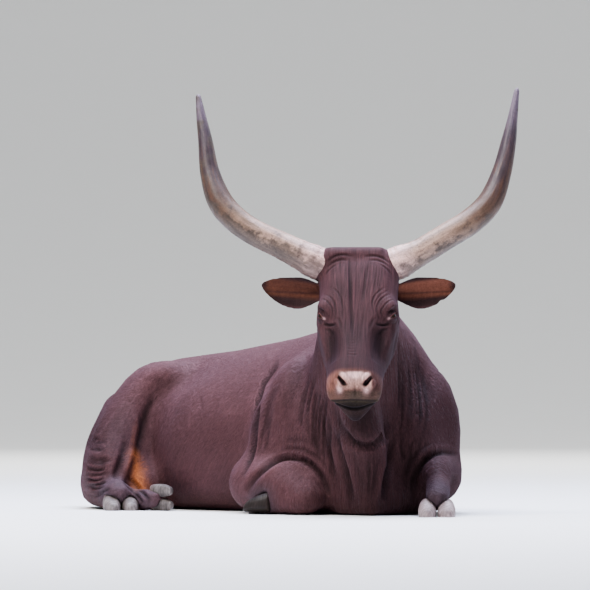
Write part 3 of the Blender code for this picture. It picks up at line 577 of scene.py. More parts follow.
# On the left side: y along the trunk and z
FLANK_FOLDS = (
    ([(20, 420), (60, 300), (50, 180), (20, 100)], 16, 11),
    ([(740, 400), (720, 280), (750, 160), (800, 80)], 18, 11),
    ([(660, 460), (740, 420), (840, 420)], 35, 9),
    ([(800, 300), (860, 220), (950, 180)], 20, 6),
    ([(900, 360), (940, 260), (920, 140)], 20, 3),
    ([(-100, 200), (-20, 150), (60, 140)], 12, 5),
)
FLANK_FAMILIES = (
    ([(-140, 550), (-120, 400), (-140, 250)], [(0, 520), (30, 380), (0, 240)], 8, 7, 2.2),
    ([(160, 400), (180, 280), (200, 160)], [(620, 400), (640, 280), (620, 160)], 10, 15, 1.3),
)

FACE_FOLDS = (
    ([(40, -26), (120, -22), (200, -17), (300, -10)], 5, 2.8),
    ([(50, 30), (120, 22), (190, 16)], 5, 1.6),
    # pad's upper rim, groove below the middle of the nose
    ([(470, -62), (450, -52), (439, -25), (437, 4), (439, 33), (450, 60), (470, 70)],
     3.6, 0.7),
    ([(476, 4), (500, 4)], 3.5, 1.8),
    # brow folds, from over each eye in towards the nose
    ([(155, -96), (180, -72), (210, -63), (250, -62)], 2.7, 1.7),
    ([(165, -111), (189, -86), (215, -72), (244, -75)], 2.5, 1.5),
    ([(132, -80), (162, -54), (202, -43), (255, -39)], 2.8, 1.5),
    ([(172, -80), (200, -68), (225, -66)], 2, 1),
    ([(150, 101), (180, 73), (210, 61), (246, 68)], 2.7, 1.6),
    ([(171, 113), (193, 89), (217, 75), (237, 78)], 2.6, 1.7),
    ([(132, 85), (162, 58), (193, 48), (232, 53)], 2.7, 1.6),
    ([(140, 94), (170, 67), (200, 55), (224, 59)], 2, 1.1),
)
# Given for the left side and mirrored for the right
FACE_PAIRS = (
    # folds at the horn's root, running in across the poll
    ([(40, 94), (26, 74), (20, 46), (24, 16)], 4, 1.9),
    ([(58, 96), (44, 78), (36, 54), (38, 30)], 3.8, 1.6),
    ([(78, 100), (64, 86), (52, 66)], 3.8, 1.4),
    # under the eye, from its inner corner towards the nose
    ([(246, 98), (254, 86), (259, 74), (262, 60)], 3.6, 4.6),
    ([(262, 92), (274, 78), (294, 68)], 4.2, 2.2),
    ([(240, 56), (258, 48), (282, 42)], 4, 1.4),
    # hollow beside the bridge of the nose, and the cheekbone's ridge outside it
    ([(276, 72), (330, 66), (392, 62)], 18, 4.2),
    ([(262, 104), (312, 94), (360, 84)], 9, -2.2),
    # nostril: a comma with a raised wing
    ([(452, 50), (461, 44), (470, 36), (477, 28)], 4.2, 16),
    ([(466, 38), (476, 31)], 5.8, 7),
    ([(444, 44), (446, 36), (456, 28), (470, 18)], 4.2, -2.8),
    ([(458, 60), (476, 50), (490, 34)], 5, -3.6),
)
FACE_FAMILIES = (
    # forehead: fine upright wrinkles
    ([(25, -80), (95, -76), (160, -66), (215, -52)],
     [(25, 80), (95, 76), (160, 66), (215, 52)], 23, 2.3, 1.1),
    # down from the forehead to the bridge
    ([(180, -40), (240, -34), (310, -34), (390, -36)],
     [(180, 44), (240, 36), (310, 34), (390, 36)], 9, 2.6, 0.9),
    # cheeks
    ([(270, -94), (330, -86), (400, -78)],
     [(270, -60), (330, -56), (400, -56)], 5, 2.8, 1),
    ([(270, 94), (330, 86), (400, 78)],
     [(270, 60), (330, 56), (400, 56)], 5, 2.8, 1),
    # bridge of the nose: short folds across
    ([(318, -30), (322, -6), (316, 24)],
     [(380, -26), (384, -4), (378, 22)], 6, 2.6, 0.6),
)
SIDE_FOLDS = (
    # mouth line, then the edge of the cheek
    ([(508, -82), (480, -96), (445, -108), (418, -112)], 4.5, 6),
    ([(420, -98), (404, -112), (410, -126)], 5, 3),
    ([(400, -85), (385, -105), (392, -125)], 6, 2),
    ([(130, -200), (190, -170), (240, -160), (280, -175)], 18, 4),
    ([(250, -75), (300, -100), (340, -110)], 14, 3.5),
    # behind and below the eye
    ([(190, -66), (207, -74), (229, -66)], 4.5, 2.6),
    ([(180, -78), (207, -90), (237, -80)], 5, 2),
)
LIP_FOLDS = (
    ([(-58, -86), (-30, -94), (0, -96), (30, -94), (58, -86)], 3.6, 3.5),
)


WIDE_FOLD = 0.012
FINE_FOLD = 0.007
FACE_SHADE = 1.9                                # how much darker a fold on the face is than on the body


def stroke(amount, place, facing, path, width, depth):
    """Add one groove: its depth falls off from the line as a bell curve, with a low lip on each
    side of it, and it fades in and out along its length. The second column of the amounts is the
    groove's shade, which only fine folds have in full."""
    line = spline(path, 6 * len(path)) if len(path) > 2 else path
    reach = 3.4 * width
    within = (place > line.min(0) - reach) & (place < line.max(0) + reach)
    near = np.flatnonzero(within.all(1) & (facing > 0))
    if not len(near):
        return
    best, at = path_distance(place[near], line)
    fade = np.sin(np.pi * np.clip(at, 0, 1)) ** 0.6
    lips = 0.30 if width < WIDE_FOLD else 0.10
    shape = bell(best, width) - lips * bell(best - 1.9 * width, 0.8 * width)
    cut = depth * shape * fade * facing[near]
    amount[near] += np.stack((cut, cut * min(1.0, (FINE_FOLD / width) ** 2)), 1)


def family(amount, place, facing, first, last, count, width, depth, rng):
    """Add like grooves spread between two lines, each a little out of place and of its own depth."""
    gap = np.linalg.norm(last.mean(0) - first.mean(0)) / count
    for k in range(count):
        share = (k + rng.uniform(0.2, 0.8)) / count
        path = first + (last - first) * share + rng.normal(0, gap * 0.16, first.shape)
        start, stop = rng.uniform(0.0, 0.22), rng.uniform(0.78, 1.0)
        path = spline(path, 24)[int(24 * start):max(int(24 * stop), 8)]
        each_width = width * rng.uniform(0.8, 1.25)
        each_depth = depth * rng.uniform(0.5, 1.3)
        stroke(amount, place, facing, path[::3], each_width, each_depth)


def cut_tables(amount, place, facing, folds, families=(), rng=None):
    """Add a table's folds and then its families of like folds."""
    for path, *size in folds:
        width, depth = in_metres(size)
        stroke(amount, place, facing, in_metres(path), width, depth)
    for first, last, count, *size in families:
        width, depth = in_metres(size)
        family(amount, place, facing, in_metres(first), in_metres(last), count, width, depth, rng)


def sculpt_body(mesh, rng):
    """Cut the folds of body, neck and legs into the skin, along its normals."""
    points, normals = to_layout(points_of(mesh)), to_layout(normals_of(mesh))
    body = 1 - head_share(points)
    amount = np.zeros((len(points), 2))
    facing = soft_step((normals * unit(CAMERA - points)).sum(1), 0.10, 0.35) * body
    cut_tables(amount, on_picture(points), facing, BODY_FOLDS, BODY_FAMILIES, rng)
    facing = soft_step(to_world(normals)[:, 0], 0.15, 0.45) * body
    cut_tables(amount, to_world(points)[:, 1:], facing, FLANK_FOLDS, FLANK_FAMILIES, rng)
    move_points(mesh, to_world(points - normals * amount[:, :1]))
    value_points(mesh, "Fold", amount[:, 1])


def sculpt_face(mesh, rng):
    """Cut wrinkles, nostrils, lips and hollows into the head's skin, along its normals."""
    points, normals = to_layout(points_of(mesh)), to_layout(normals_of(mesh))
    a, n, l = to_head(points)
    head = head_share(points)
    toward_l, toward_n, toward_a = (normals @ HEAD_AXES).T
    amount = np.zeros((len(points), 2))
    facing = soft_step(toward_n, 0.10, 0.40) * head
    face = np.stack((a, l), 1)
    cut_tables(amount, face, facing, FACE_FOLDS)
    for path, *size in FACE_PAIRS:
        width, depth = in_metres(size)
        down, out = in_metres(path).T
        for side in (-1, 1):
            turned = np.stack((down, out * side + NOSE_MIDDLE * (down > NOSE_START)), 1)
            stroke(amount, face, facing, turned, width, depth)
    cut_tables(amount, face, facing, (), FACE_FAMILIES, rng)
    for side in (-1, 1):
        facing = soft_step(toward_l * side, 0.15, 0.45) * head
        cut_tables(amount, np.stack((a, n), 1), facing, SIDE_FOLDS)
    facing = soft_step(toward_a, 0.05, 0.40) * head * (np.abs(l) < 0.07)
    cut_tables(amount, np.stack((l, n), 1), facing, LIP_FOLDS)
    move_points(mesh, to_world(points - normals * amount[:, :1]))
    value_points(mesh, "Fold", values_of(mesh, "Fold") + FACE_SHADE * amount[:, 1])


def eye_frame(side):
    """Middle of the eyeball and the ways along the lids' slit, up and out, in the layout frame."""
    a, n, l = EYE_PLACE
    middle = from_head(a, n, side * l)
    out = unit(HEAD_AXES @ np.array((side * 0.80, 0.58, 0.02)))
    slit = HEAD_AXES @ np.array((-side * 0.50, 0.42, 0.76))
    slit = unit(slit - out * (slit @ out))
    up = np.cross(out, slit) * side
    return middle, slit, up, out


SLIT_HALF = 0.0200
SLIT_OPEN = 0.0048
LID_THICKNESS = 0.0022
LID_REACH = (0.0165, 0.0290)                    # from the eye's middle: whole, and gone
UPPER_FOLD = 0.0018
LOWER_FOLD = 0.0012
BEHIND_BALL = 0.0045


def eye_chart(points, side):
    """Layout points measured from an eyeball's middle: along the slit, up and out. The fourth
    array is half the slit's opening, a parabola along it."""
    middle, slit, up, out = eye_frame(side)
    from_eye = points - middle
    x, y, z = from_eye @ slit, from_eye @ up, from_eye @ out
    return x, y, z, SLIT_OPEN * np.clip(1 - (x / SLIT_HALF) ** 2, 0, None)


def sculpt_eyes(mesh):
    """Lay the lids over each eyeball and open the slit between them.

    Round the eye the skin becomes a sphere a lid's thickness larger than the ball. Inside an
    almond outline, whose half height is a parabola along the slit, it drops behind the ball.
    """
    points = to_layout(points_of(mesh))
    lid_radius = EYE_RADIUS + LID_THICKNESS
    for side in (-1, 1):
        x, y, z, half = eye_chart(points, side)
        near = (z > -0.012) & (np.hypot(x, y) < 0.040)
        flat = np.hypot(x / 1.15, y)
        lid = np.sqrt(np.clip(lid_radius ** 2 - np.minimum(flat, lid_radius * 0.95) ** 2, 0, None))
        share = soft_fall(flat, *LID_REACH) * near
        z_new = z + (lid - z) * share
        upper = bell(np.hypot(x / 1.5, y - 0.001) - 0.0135, 0.0022) * (y > 0.002) * near
        lower = bell(np.hypot(x / 1.5, y + 0.001) - 0.0120, 0.0020) * (y < -0.003) * near
        z_new = z_new - UPPER_FOLD * upper - LOWER_FOLD * lower
        inside = soft_step(half - np.abs(y + 0.001), -0.0004, 0.0010) * near
        ball = np.sqrt(np.clip(EYE_RADIUS ** 2 - x * x - y * y, 0, None))
        z_new = z_new + (np.minimum(z_new, ball - BEHIND_BALL) - z_new) * inside
        points = points + eye_frame(side)[3] * (z_new - z)[:, None] * near[:, None]
    move_points(mesh, to_world(points))


def refine(piece, spots):
    """Split the faces round each spot into four, for finer sculpting."""
    work = bmesh.new()
    work.from_mesh(piece.data)
    points = to_layout(points_of(piece.data))
    chosen = np.zeros(len(points), bool)
    for place, reach in spots:
        chosen |= np.linalg.norm(points - place, axis=1) < reach
    edges = [e for e in work.edges if chosen[e.verts[0].index] and chosen[e.verts[1].index]]
    bmesh.ops.subdivide_edges(work, edges=edges, cuts=1, use_grid_fill=True, smooth=0.0)
    work.to_mesh(piece.data)
    work.free()


EAR_ROWS = 60
EAR_COLUMNS = 29
EAR_OVERLAP = 0.012                             # how far the root reaches into the head
EAR_DEPTH = 0.036
EAR_WALL = (0.0068, 0.0046)                     # thickness at the root and at the tip
EAR_DROOP = 0.0135
EAR_RIDGES = (-0.25, 0.15, 0.50)                # places across the ear
RIDGE_HEIGHT = 0.0012
NICK_PLACE = 0.74                               # along the left ear's lower edge
NICK_DEPTH = 0.006


def ear_points(side):
    """A cupped leaf: across it the surface is a parabola, deepest near the root. Its half width
    swells from a narrow root and closes in a rounded tip; ridges of gristle run along the inside."""
    root, tip = np.array(EAR_ROOTS[side]), np.array(EAR_TIPS[side])
    along = unit(tip - root)
    back = unit(np.array((0.0, 1.0, 0.0)) - along * along[1])
    up = np.cross(back, along) * -side
    root = root - along * EAR_OVERLAP
    t = np.linspace(0, 1, EAR_ROWS)[:, None]
    s = np.linspace(-1, 1, EAR_COLUMNS)[None, :]
    outer = np.clip((t - 0.40) / 0.605, 0, 1)
    swell = 0.32 + 0.68 * np.sin(np.pi / 2 * np.minimum(t / 0.46, 1.0)) ** 1.5
    half = EAR_WIDTH / 2 * np.maximum(swell * (1 - outer ** 2) ** 0.72, 0.04)
    deep = EAR_DEPTH * (1 - t) ** 0.6 * (1 - 0.2 * t) * np.minimum(1.0, 0.45 + 2 * t) + 0.003
    thick = EAR_WALL[0] + (EAR_WALL[1] - EAR_WALL[0]) * t
    centre = root + (tip - root) * t - up * EAR_DROOP * np.sin(np.pi * t)
    bow = deep * (1 - s ** 2) - deep
    ridges = sum(bell(s - place, 0.10) for place in EAR_RIDGES)
    ridges = RIDGE_HEIGHT * ridges * np.sin(np.pi * t)
    wide = s * half
    if side > 0:
        wide = np.where(s < -0.75, wide + NICK_DEPTH * bell(t - NICK_PLACE, 0.035), wide)
    front = centre[:, None] + up * wide[..., None] + back * (bow - ridges)[..., None]
    wall = thick * (1 - 0.25 * np.abs(s) ** 3)
    rear = centre[:, None] + up * (wide + s * thick * 0.2)[..., None] + back * (bow + wall)[..., None]
    return np.concatenate((front, rear[:, ::-1]), axis=1)


def ball_ways(polar, sides):
    """The way from a ball's middle to each place on it, in three parts: two across its axis, by
    the turn round it, and one along it, by the angle from its pole."""
    polar = polar[:, None]
    turn = np.linspace(0, 2 * np.pi, sides, endpoint=False)[None, :]
    return np.sin(polar) * np.cos(turn), np.sin(polar) * np.sin(turn), np.cos(polar) * np.ones_like(turn)


ROUND_SIDES = 24
POLE_GAP = 0.12                                 # angle from a ball's pole to its first ring


def ball_points(middle, radii):
    """A closed ball of rings, squeezed by its three radii."""
    ways = ball_ways(np.linspace(POLE_GAP, np.pi - POLE_GAP, ROUND_SIDES // 2), ROUND_SIDES)
    return np.asarray(middle) + np.stack(ways, -1) * np.asarray(radii)


def merged_copy(node, swell):
    """Points and faces of a solid's mesh, welded and swollen along its normals."""
    work = bmesh.new()
    work.from_mesh(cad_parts[node].data)
    bmesh.ops.remove_doubles(work, verts=work.verts, dist=WELD_DISTANCE)
    mesh = bpy.data.meshes.new("merged")
    work.to_mesh(mesh)
    work.free()
    points = points_of(mesh) + normals_of(mesh) * swell
    faces = [tuple(f.vertices) for f in mesh.polygons]
    bpy.data.meshes.remove(mesh)
    return points, faces


def gathered(name, parts):
    """One object holding several (points, faces) parts."""
    points, faces, base = [], [], 0
    for part_points, part_faces in parts:
        points.append(part_points)
        faces += [tuple(base + k for k in f) for f in part_faces]
        base += len(part_points)
    return new_piece(name, np.vstack(points), faces)


def closed_world(grid):
    """A closed grid of layout rings, turned to the model's frame."""
    points, faces = closed_grid(grid)
    return to_world(points), faces


def closed_piece(name, grid):
    """An object from a closed grid of layout rings, its faces pointing out."""
    piece = new_piece(name, *closed_world(grid))
    face_outwards(piece)
    return piece


def ring_values(piece, key, values, ends=(0.0, 0.0)):
    """Store a number for each point of a closed grid and for the points that close its ends."""
    value_points(piece.data, key, np.concatenate((np.ravel(values), ends)))


# Stations of each horn in millimetres: x, y, z and radius
HORN_PATHS = {
    "right": (
        (-165, -330, 752, 52), (-215, -330, 772, 51.5), (-308, -325, 818, 43), (-406, -315, 866, 41),
        (-467, -300, 912, 41), (-507, -280, 965, 39.5), (-536, -250, 1050, 31), (-550, -225, 1145, 23),
        (-563, -205, 1220, 16), (-574, -190, 1294, 7.5)),
    "left": (
        (-5, -330, 752, 52), (42, -330, 770, 51.5), (106, -325, 801, 43), (186, -315, 850, 41.5),
        (260, -300, 896, 41), (320, -280, 956, 39), (358, -250, 1048, 31), (381, -225, 1145, 24),
        (395, -205, 1220, 16), (410, -190, 1314, 7.5)),
}
HAIR_LINE = {"right": 0.84, "left": 0.72}       # how far along the horn's first stretch the skin reaches
STUB_RADIUS = 0.0535
STUB_STATIONS = 5
POLL_ROLL = ((-0.176, -0.352, 0.786), (-0.006, -0.352, 0.786))
POLL_ROLL_RADIUS = 0.033
ROLL_STATIONS = 7
SOCKET_RADIUS = 0.0205
EAR_ROOT_RADII = (0.022, 0.016, 0.022)

# The tail in millimetres: x, y, z and radius
TAIL_PATH = (
    (-800, 850, 395, 30), (-835, 885, 375, 26), (-872, 922, 335, 20.5), (-893, 955, 215, 17.5),
    (-880, 990, 100, 17.2), (-840, 1055, 30, 16), (-740, 1075, 14.5, 14), (-640, 1060, 13, 12.5),
    (-560, 1028, 12.5, 11),
)
TAIL_STATIONS = 60
TAIL_SIDES = 20
# Dewclaws: middle and radii
DEWCLAWS = (
    ((0.128, -0.372, 0.038), (0.014, 0.016, 0.012)), ((0.186, -0.372, 0.038), (0.014, 0.016, 0.012)),
    ((-0.872, 0.392, 0.022), (0.013, 0.016, 0.012)), ((-0.818, 0.392, 0.022), (0.013, 0.016, 0.012)),
)


ROUGH_WEIGHT = {"head_loss": 0.80, "foot_weight": 0.15, "fade": 2.2}
THIN_WEIGHT = {"head_loss": 0.78, "foot_weight": 0.45, "fade": 1.5}


def body_weight(points, head_loss, foot_weight, fade):
    """1 on the body, less by head_loss on the head and down to foot_weight on the feet, from
    where it rises again up to fade times a foot's reach."""
    weight = 1 - head_loss * head_share(points)
    for place, reach in FEET_SPOTS:
        away = np.linalg.norm(points - place, axis=1)
        foot = foot_weight + (1 - foot_weight) * soft_step(away, reach, reach * fade)
        weight = np.minimum(weight, foot)
    return weight


def keep_above_floor(mesh):
    """Lift every point that lies below the floor on to it."""
    points = points_of(mesh)
    points[:, 2] = np.maximum(points[:, 2], 0.0)
    move_points(mesh, points)


def build_skin():
    """Fuse the flesh solids into one skin and add the horns' hair line, ears, tail and dewclaws."""
    parts = [merged_copy(node, SOLID_SWELL) for node in FLESH]
    for name, path in HORN_PATHS.items():
        root, ahead = in_metres(path[:2])[:, :3]
        stub = np.linspace(root, root + (ahead - root) * HAIR_LINE[name], STUB_STATIONS)
        parts.append(closed_world(tube(stub, np.full(STUB_STATIONS, STUB_RADIUS), ROUND_SIDES)))
    roll = np.linspace(*np.array(POLL_ROLL), ROLL_STATIONS)
    parts.append(closed_world(tube(roll, np.full(ROLL_STATIONS, POLL_ROLL_RADIUS), ROUND_SIDES)))
    for side in (-1, 1):
        middle = from_head(*EYE_PLACE[:2], side * EYE_PLACE[2])
        parts.append(closed_world(ball_points(middle, (SOCKET_RADIUS,) * 3)))
        parts.append(closed_world(ball_points(EAR_ROOTS[side], EAR_ROOT_RADII)))
    rough = gathered("rough_skin", parts)
    remesh(rough, ROUGH_VOXEL)
    smooth(rough, ROUGH_SMOOTHING, body_weight(to_layout(points_of(rough.data)), **ROUGH_WEIGHT))

    inner = points_of(rough.data) - normals_of(rough.data) * COAT_DEPTH
    parts = [(inner, [tuple(f.vertices) for f in rough.data.polygons])]
    for side in (-1, 1):
        parts.append(closed_world(ear_points(side)))
    tail = spline(in_metres(TAIL_PATH), TAIL_STATIONS)
    parts.append(closed_world(tube(tail[:, :3], tail[:, 3], TAIL_SIDES)))
    for place, radii in DEWCLAWS:
        parts.append(closed_world(ball_points(place, radii)))
    skin = gathered("skin", parts)
    bpy.data.objects.remove(rough, do_unlink=True)
    remesh(skin, FINE_VOXEL)
    smooth(skin, FINE_SMOOTHING, 0.45 + 0.55 * (1 - head_share(to_layout(points_of(skin.data)))))
    return skin


def thin_skin(skin):
    """Collapse the skin to its budget, keeping the head, ears and feet fine."""
    weight = body_weight(to_layout(points_of(skin.data)), **THIN_WEIGHT)
    skin.vertex_groups.clear()
    weigh(skin, "thin", weight)
    count = sum(len(f.vertices) - 2 for f in skin.data.polygons)
    modifier = skin.modifiers.new("thin", "DECIMATE")
    modifier.ratio = SKIN_TRIANGLES / count
    modifier.vertex_group = "thin"
    modifier.vertex_group_factor = 1.0
    modifier.use_collapse_triangulate = True
    apply_modifiers(skin)
    skin.vertex_groups.clear()
    keep_above_floor(skin.data)
    skin.data.shade_smooth()


def colour_points(mesh, colour):
    """Store a colour for each point."""
    layer = mesh.color_attributes.new("Coat", "FLOAT_COLOR", "POINT")
    rgba = np.ones((len(colour), 4), np.float32)
    rgba[:, :3] = np.clip(colour, 0.002, 1.0)
    layer.data.foreach_set("color", rgba.ravel())


def value_points(mesh, name, values):
    """Store a number for each point."""
    layer = mesh.attributes.get(name) or mesh.attributes.new(name, "FLOAT", "POINT")
    layer.data.foreach_set("value", np.asarray(values, np.float32))


def values_of(mesh, name):
    """The numbers stored for each point."""
    out = np.empty(len(mesh.vertices), np.float32)
    mesh.attributes[name].data.foreach_get("value", out)
    return out.astype(float)


class Nodes:
    """A material's node tree and short ways to add to it."""

    def __init__(self, name, roughness, **sockets):
        self.material = bpy.data.materials.new(name)
        self.material.use_nodes = True
        self.tree = self.material.node_tree
        self.shader = self.tree.nodes["Principled BSDF"]
        self.shader.inputs["Roughness"].default_value = roughness
        for key, value in sockets.items():
            self.shader.inputs[key.replace("_", " ")].default_value = value

    def add(self, kind, inputs=(), **settings):
        """A node with settings and inputs, each input a socket to link or a value."""
        node = self.tree.nodes.new(kind)
        for key, value in settings.items():
            setattr(node, key, value)
        for key, value in dict(inputs).items():
            if isinstance(value, bpy.types.NodeSocket):
                self.tree.links.new(value, node.inputs[key])
            else:
                node.inputs[key].default_value = value
        return node

    def object_place(self):
        """Object coordinates."""
        return self.add("ShaderNodeTexCoord").outputs["Object"]

    def combed(self, place, way, stretch):
        """Coordinates in which a pattern is drawn out along a way."""
        turn = Vector(way).to_track_quat("Z", "Y").to_euler()
        inputs = {"Vector": place, "Rotation": turn, "Scale": (1, 1, stretch)}
        return self.add("ShaderNodeMapping", inputs, vector_type="TEXTURE").outputs["Vector"]

    def noise(self, place, scale, detail=2.0, rough=0.5):
        """Noise from 0 to 1."""
        return self.add("ShaderNodeTexNoise", {"Vector": place, "Scale": scale, "Detail": detail,
                                               "Roughness": rough}).outputs["Fac"]

    def ranged(self, value, low, high, to_low, to_high):
        """A value carried smoothly from one range to another."""
        return self.add("ShaderNodeMapRange", {"Value": value, "From Min": low, "From Max": high,
                                               "To Min": to_low, "To Max": to_high},
                        interpolation_type="SMOOTHSTEP").outputs["Result"]

    def math(self, kind, one, two=0.5):
        """A sum on one or two values."""
        return self.add("ShaderNodeMath", {0: one, 1: two}, operation=kind).outputs["Value"]

    def mix(self, amount, one, two, blend="MIX"):
        """Two colours mixed."""
        return self.add("ShaderNodeMix", {"Factor": amount, 6: one, 7: two}, data_type="RGBA",
                        blend_type=blend).outputs[2]

    def between(self, amount, one, two):
        """A value between two values."""
        return self.add("ShaderNodeMix", {"Factor": amount, 2: one, 3: two}).outputs[0]

    def varied(self, colour, value, dark, light):
        """A colour made darker and lighter as a noise goes from low to high."""
        return self.mix(1.0, colour, self.ranged(value, 0.3, 0.7, dark, light), "MULTIPLY")

    def attribute(self, name, kind="Fac"):
        """A stored value or colour."""
        return self.add("ShaderNodeAttribute", attribute_name=name).outputs[kind]

    def bump(self, height, distance, strength=1.0, below=None):
        """A bump from a height between 0 and 1, over another bump."""
        inputs = {"Height": height, "Distance": distance, "Strength": strength}
        if below is not None:
            inputs["Normal"] = below
        return self.add("ShaderNodeBump", inputs).outputs["Normal"]

    def finish(self, colour, normal=None, roughness=None):
        """Link colour, normal and roughness to the shader."""
        self.tree.links.new(colour, self.shader.inputs["Base Color"])
        if normal is not None:
            self.tree.links.new(normal, self.shader.inputs["Normal"])
        if roughness is not None:
            self.tree.links.new(roughness, self.shader.inputs["Roughness"])
        return self.material


TRUNK_COMB = to_world(np.array((-0.35, 0.55, -0.75)))
NECK_COMB = to_world(np.array((0.05, 0.25, -0.97)))
FACE_COMB = to_world(HEAD_AXES[:, 2])
HAIR_SHEEN = (0.66, 0.60, 1.0, 1.0)


def skin_material():
    """Short hair over skin: stored markings, streaked along the lie of the hair, with fine
    wrinkles across the neck and breast."""
    m = Nodes("skin_coat", 0.66, Sheen_Weight=0.035, Sheen_Roughness=0.50, Sheen_Tint=HAIR_SHEEN,
              Specular_IOR_Level=0.10)
    place = m.object_place()
    head = m.attribute("Head")
    front = m.attribute("Front")
    streaks = []
    for scale, stretch in ((260.0, 16.0), (90.0, 10.0)):
        back, neck, face = (m.noise(m.combed(place, way, stretch), scale)
                            for way in (TRUNK_COMB, NECK_COMB, FACE_COMB))
        streaks.append(m.between(head, m.between(front, back, neck), face))
    fine, coarse = streaks
    cloudy = m.noise(place, 7.0, 3.0)
    colour = m.varied(m.attribute("Coat", "Color"), cloudy, 0.86, 1.14)
    colour = m.varied(colour, fine, 0.80, 1.20)
    colour = m.varied(colour, coarse, 0.88, 1.12)
    wrinkle = m.ranged(m.noise(m.combed(place, NECK_COMB, 9.0), 75.0), 0.35, 0.62, 0.0, 1.0)
    wrinkle = m.math("MULTIPLY", wrinkle, m.attribute("Wrinkle"))
    pores = m.add("ShaderNodeTexVoronoi", {"Vector": place, "Scale": 420.0}).outputs["Distance"]
    pores = m.math("MULTIPLY", pores, m.attribute("Bare"))
    normal = m.bump(wrinkle, 0.0040, 0.7)
    normal = m.bump(pores, 0.0012, 0.8, normal)
    normal = m.bump(coarse, 0.0016, 0.5, normal)
    normal = m.bump(fine, 0.0008, 0.6, normal)
    both = m.math("ADD", m.math("MULTIPLY", fine, 0.5), m.math("MULTIPLY", cloudy, 0.5))
    return m.finish(colour, normal, m.ranged(both, 0.3, 0.7, 0.58, 0.74))


def coat_material():
    """Tufts of short hair: stored markings, a little lighter and darker from hair to hair."""
    m = Nodes("coat_hair", 0.60, Sheen_Weight=0.04, Sheen_Roughness=0.50, Sheen_Tint=HAIR_SHEEN,
              Specular_IOR_Level=0.13)
    hairs = m.noise(m.object_place(), 600.0)
    colour = m.varied(m.attribute("Coat", "Color"), hairs, 0.82, 1.18)
    return m.finish(colour, m.bump(hairs, 0.0005, 0.5), m.ranged(hairs, 0.3, 0.7, 0.52, 0.70))


def mark_skin(mesh):
    """Store the skin's colours and where its hair, wrinkles and bare nose lie."""
    points, normals = to_layout(points_of(mesh)), to_layout(normals_of(mesh))
    colour_points(mesh, markings(points, normals, values_of(mesh, "Fold")))
    head = head_share(points)
    front = soft_fall(to_world(points)[:, 1], -0.02, 0.22) * (1 - head)
    value_points(mesh, "Head", head)
    value_points(mesh, "Front", front)
    value_points(mesh, "Bare", head * soft_step(to_head(points)[0], *BARE_NOSE))
    wrinkle = front * soft_fall(points[:, 2], 0.50, 0.66) * 0.9 + 0.12 * (1 - head)
    value_points(mesh, "Wrinkle", wrinkle)


HORN_ROWS = 240
HORN_SIDES = 56
HORN_ROUNDING = 0.985                           # how far along the tip begins to close
FLUTES = 9


def horn_piece(name, path):
    """A horn: rings along the curve, ridged at the base by growth, tapering to a blunt tip.

    The radius follows the stations; growth rings are sines of the distance from the root whose
    phase wanders, and they fade out a third of the way up.
    """
    stations = spline(in_metres(path), HORN_ROWS)
    t = np.linspace(0, 1, HORN_ROWS)
    past = np.maximum(t - HORN_ROUNDING, 0) / 0.016
    end = np.sqrt(np.clip(1 - past ** 2, 0, 1))
    radii = stations[:, 3] * np.maximum(end, 0.10)
    rings = tube(stations[:, :3], radii, HORN_SIDES, flatten=0.97)
    length = np.cumsum(np.linalg.norm(np.diff(stations[:, :3], axis=0), axis=1))
    length = np.concatenate(([0], length))[:, None]
    angle = np.linspace(0, 2 * np.pi, HORN_SIDES, endpoint=False)
    wander = 3.0 * np.sin(length * 31.0) + (0.6 * np.sin(angle * 2 + 1.0) + 0.3 * np.sin(angle * 5))[None, :]
    phase = length * 420.0 + wander
    growth = 0.0004 * np.sin(phase) + 0.0009 * np.sin(phase * 0.31 + 1.3) * np.sin(length * 55)
    growth = growth * soft_fall(t, 0.10, 0.42)[:, None]
    flutes = 0.0005 * np.sin(angle * FLUTES + 2.0)[None, :] * np.sin(length * 12) * (1 - 0.8 * t)[:, None]
    swell = 0.0016 * bell(t - 0.125, 0.012)[:, None]
    out = unit(rings - stations[:, None, :3])
    piece = closed_piece(name, rings + out * (growth + flutes + swell)[..., None])
    # the right horn is darker: its underside value is lowered
    right_horn_darkening = 0.45 if stations[-1, 0] < POLL[0] else 0.0
    ring_values(piece, "Along", np.repeat(t, HORN_SIDES), (0.0, 1.0))
    ring_values(piece, "Under", out[..., 2] - right_horn_darkening, (-right_horn_darkening, -right_horn_darkening))
    ring_values(piece, "Across", np.tile(np.cos(angle), HORN_ROWS))
    ring_values(piece, "Round", np.tile(np.sin(angle), HORN_ROWS))
    return piece


# How far along the horn, and its colour there; the lighter last stop is a painted highlight on the tip
HORN_STOPS = (
    (0.00, (0.62, 0.40, 0.36, 1)), (0.11, (0.58, 0.375, 0.33, 1)), (0.20, (0.37, 0.245, 0.190, 1)),
    (0.42, (0.22, 0.140, 0.098, 1)), (0.52, (0.115, 0.066, 0.046, 1)), (0.64, (0.062, 0.039, 0.040, 1)),
    (0.82, (0.062, 0.042, 0.053, 1)), (1.00, (0.20, 0.155, 0.20, 1)),
)
# grime, which also serves as painted shade on the horns' undersides
GRIME_AND_SHADE = (0.075, 0.055, 0.045, 1)
CRACK = (0.060, 0.035, 0.028, 1)
HORN_BROWN = (0.070, 0.036, 0.024, 1)


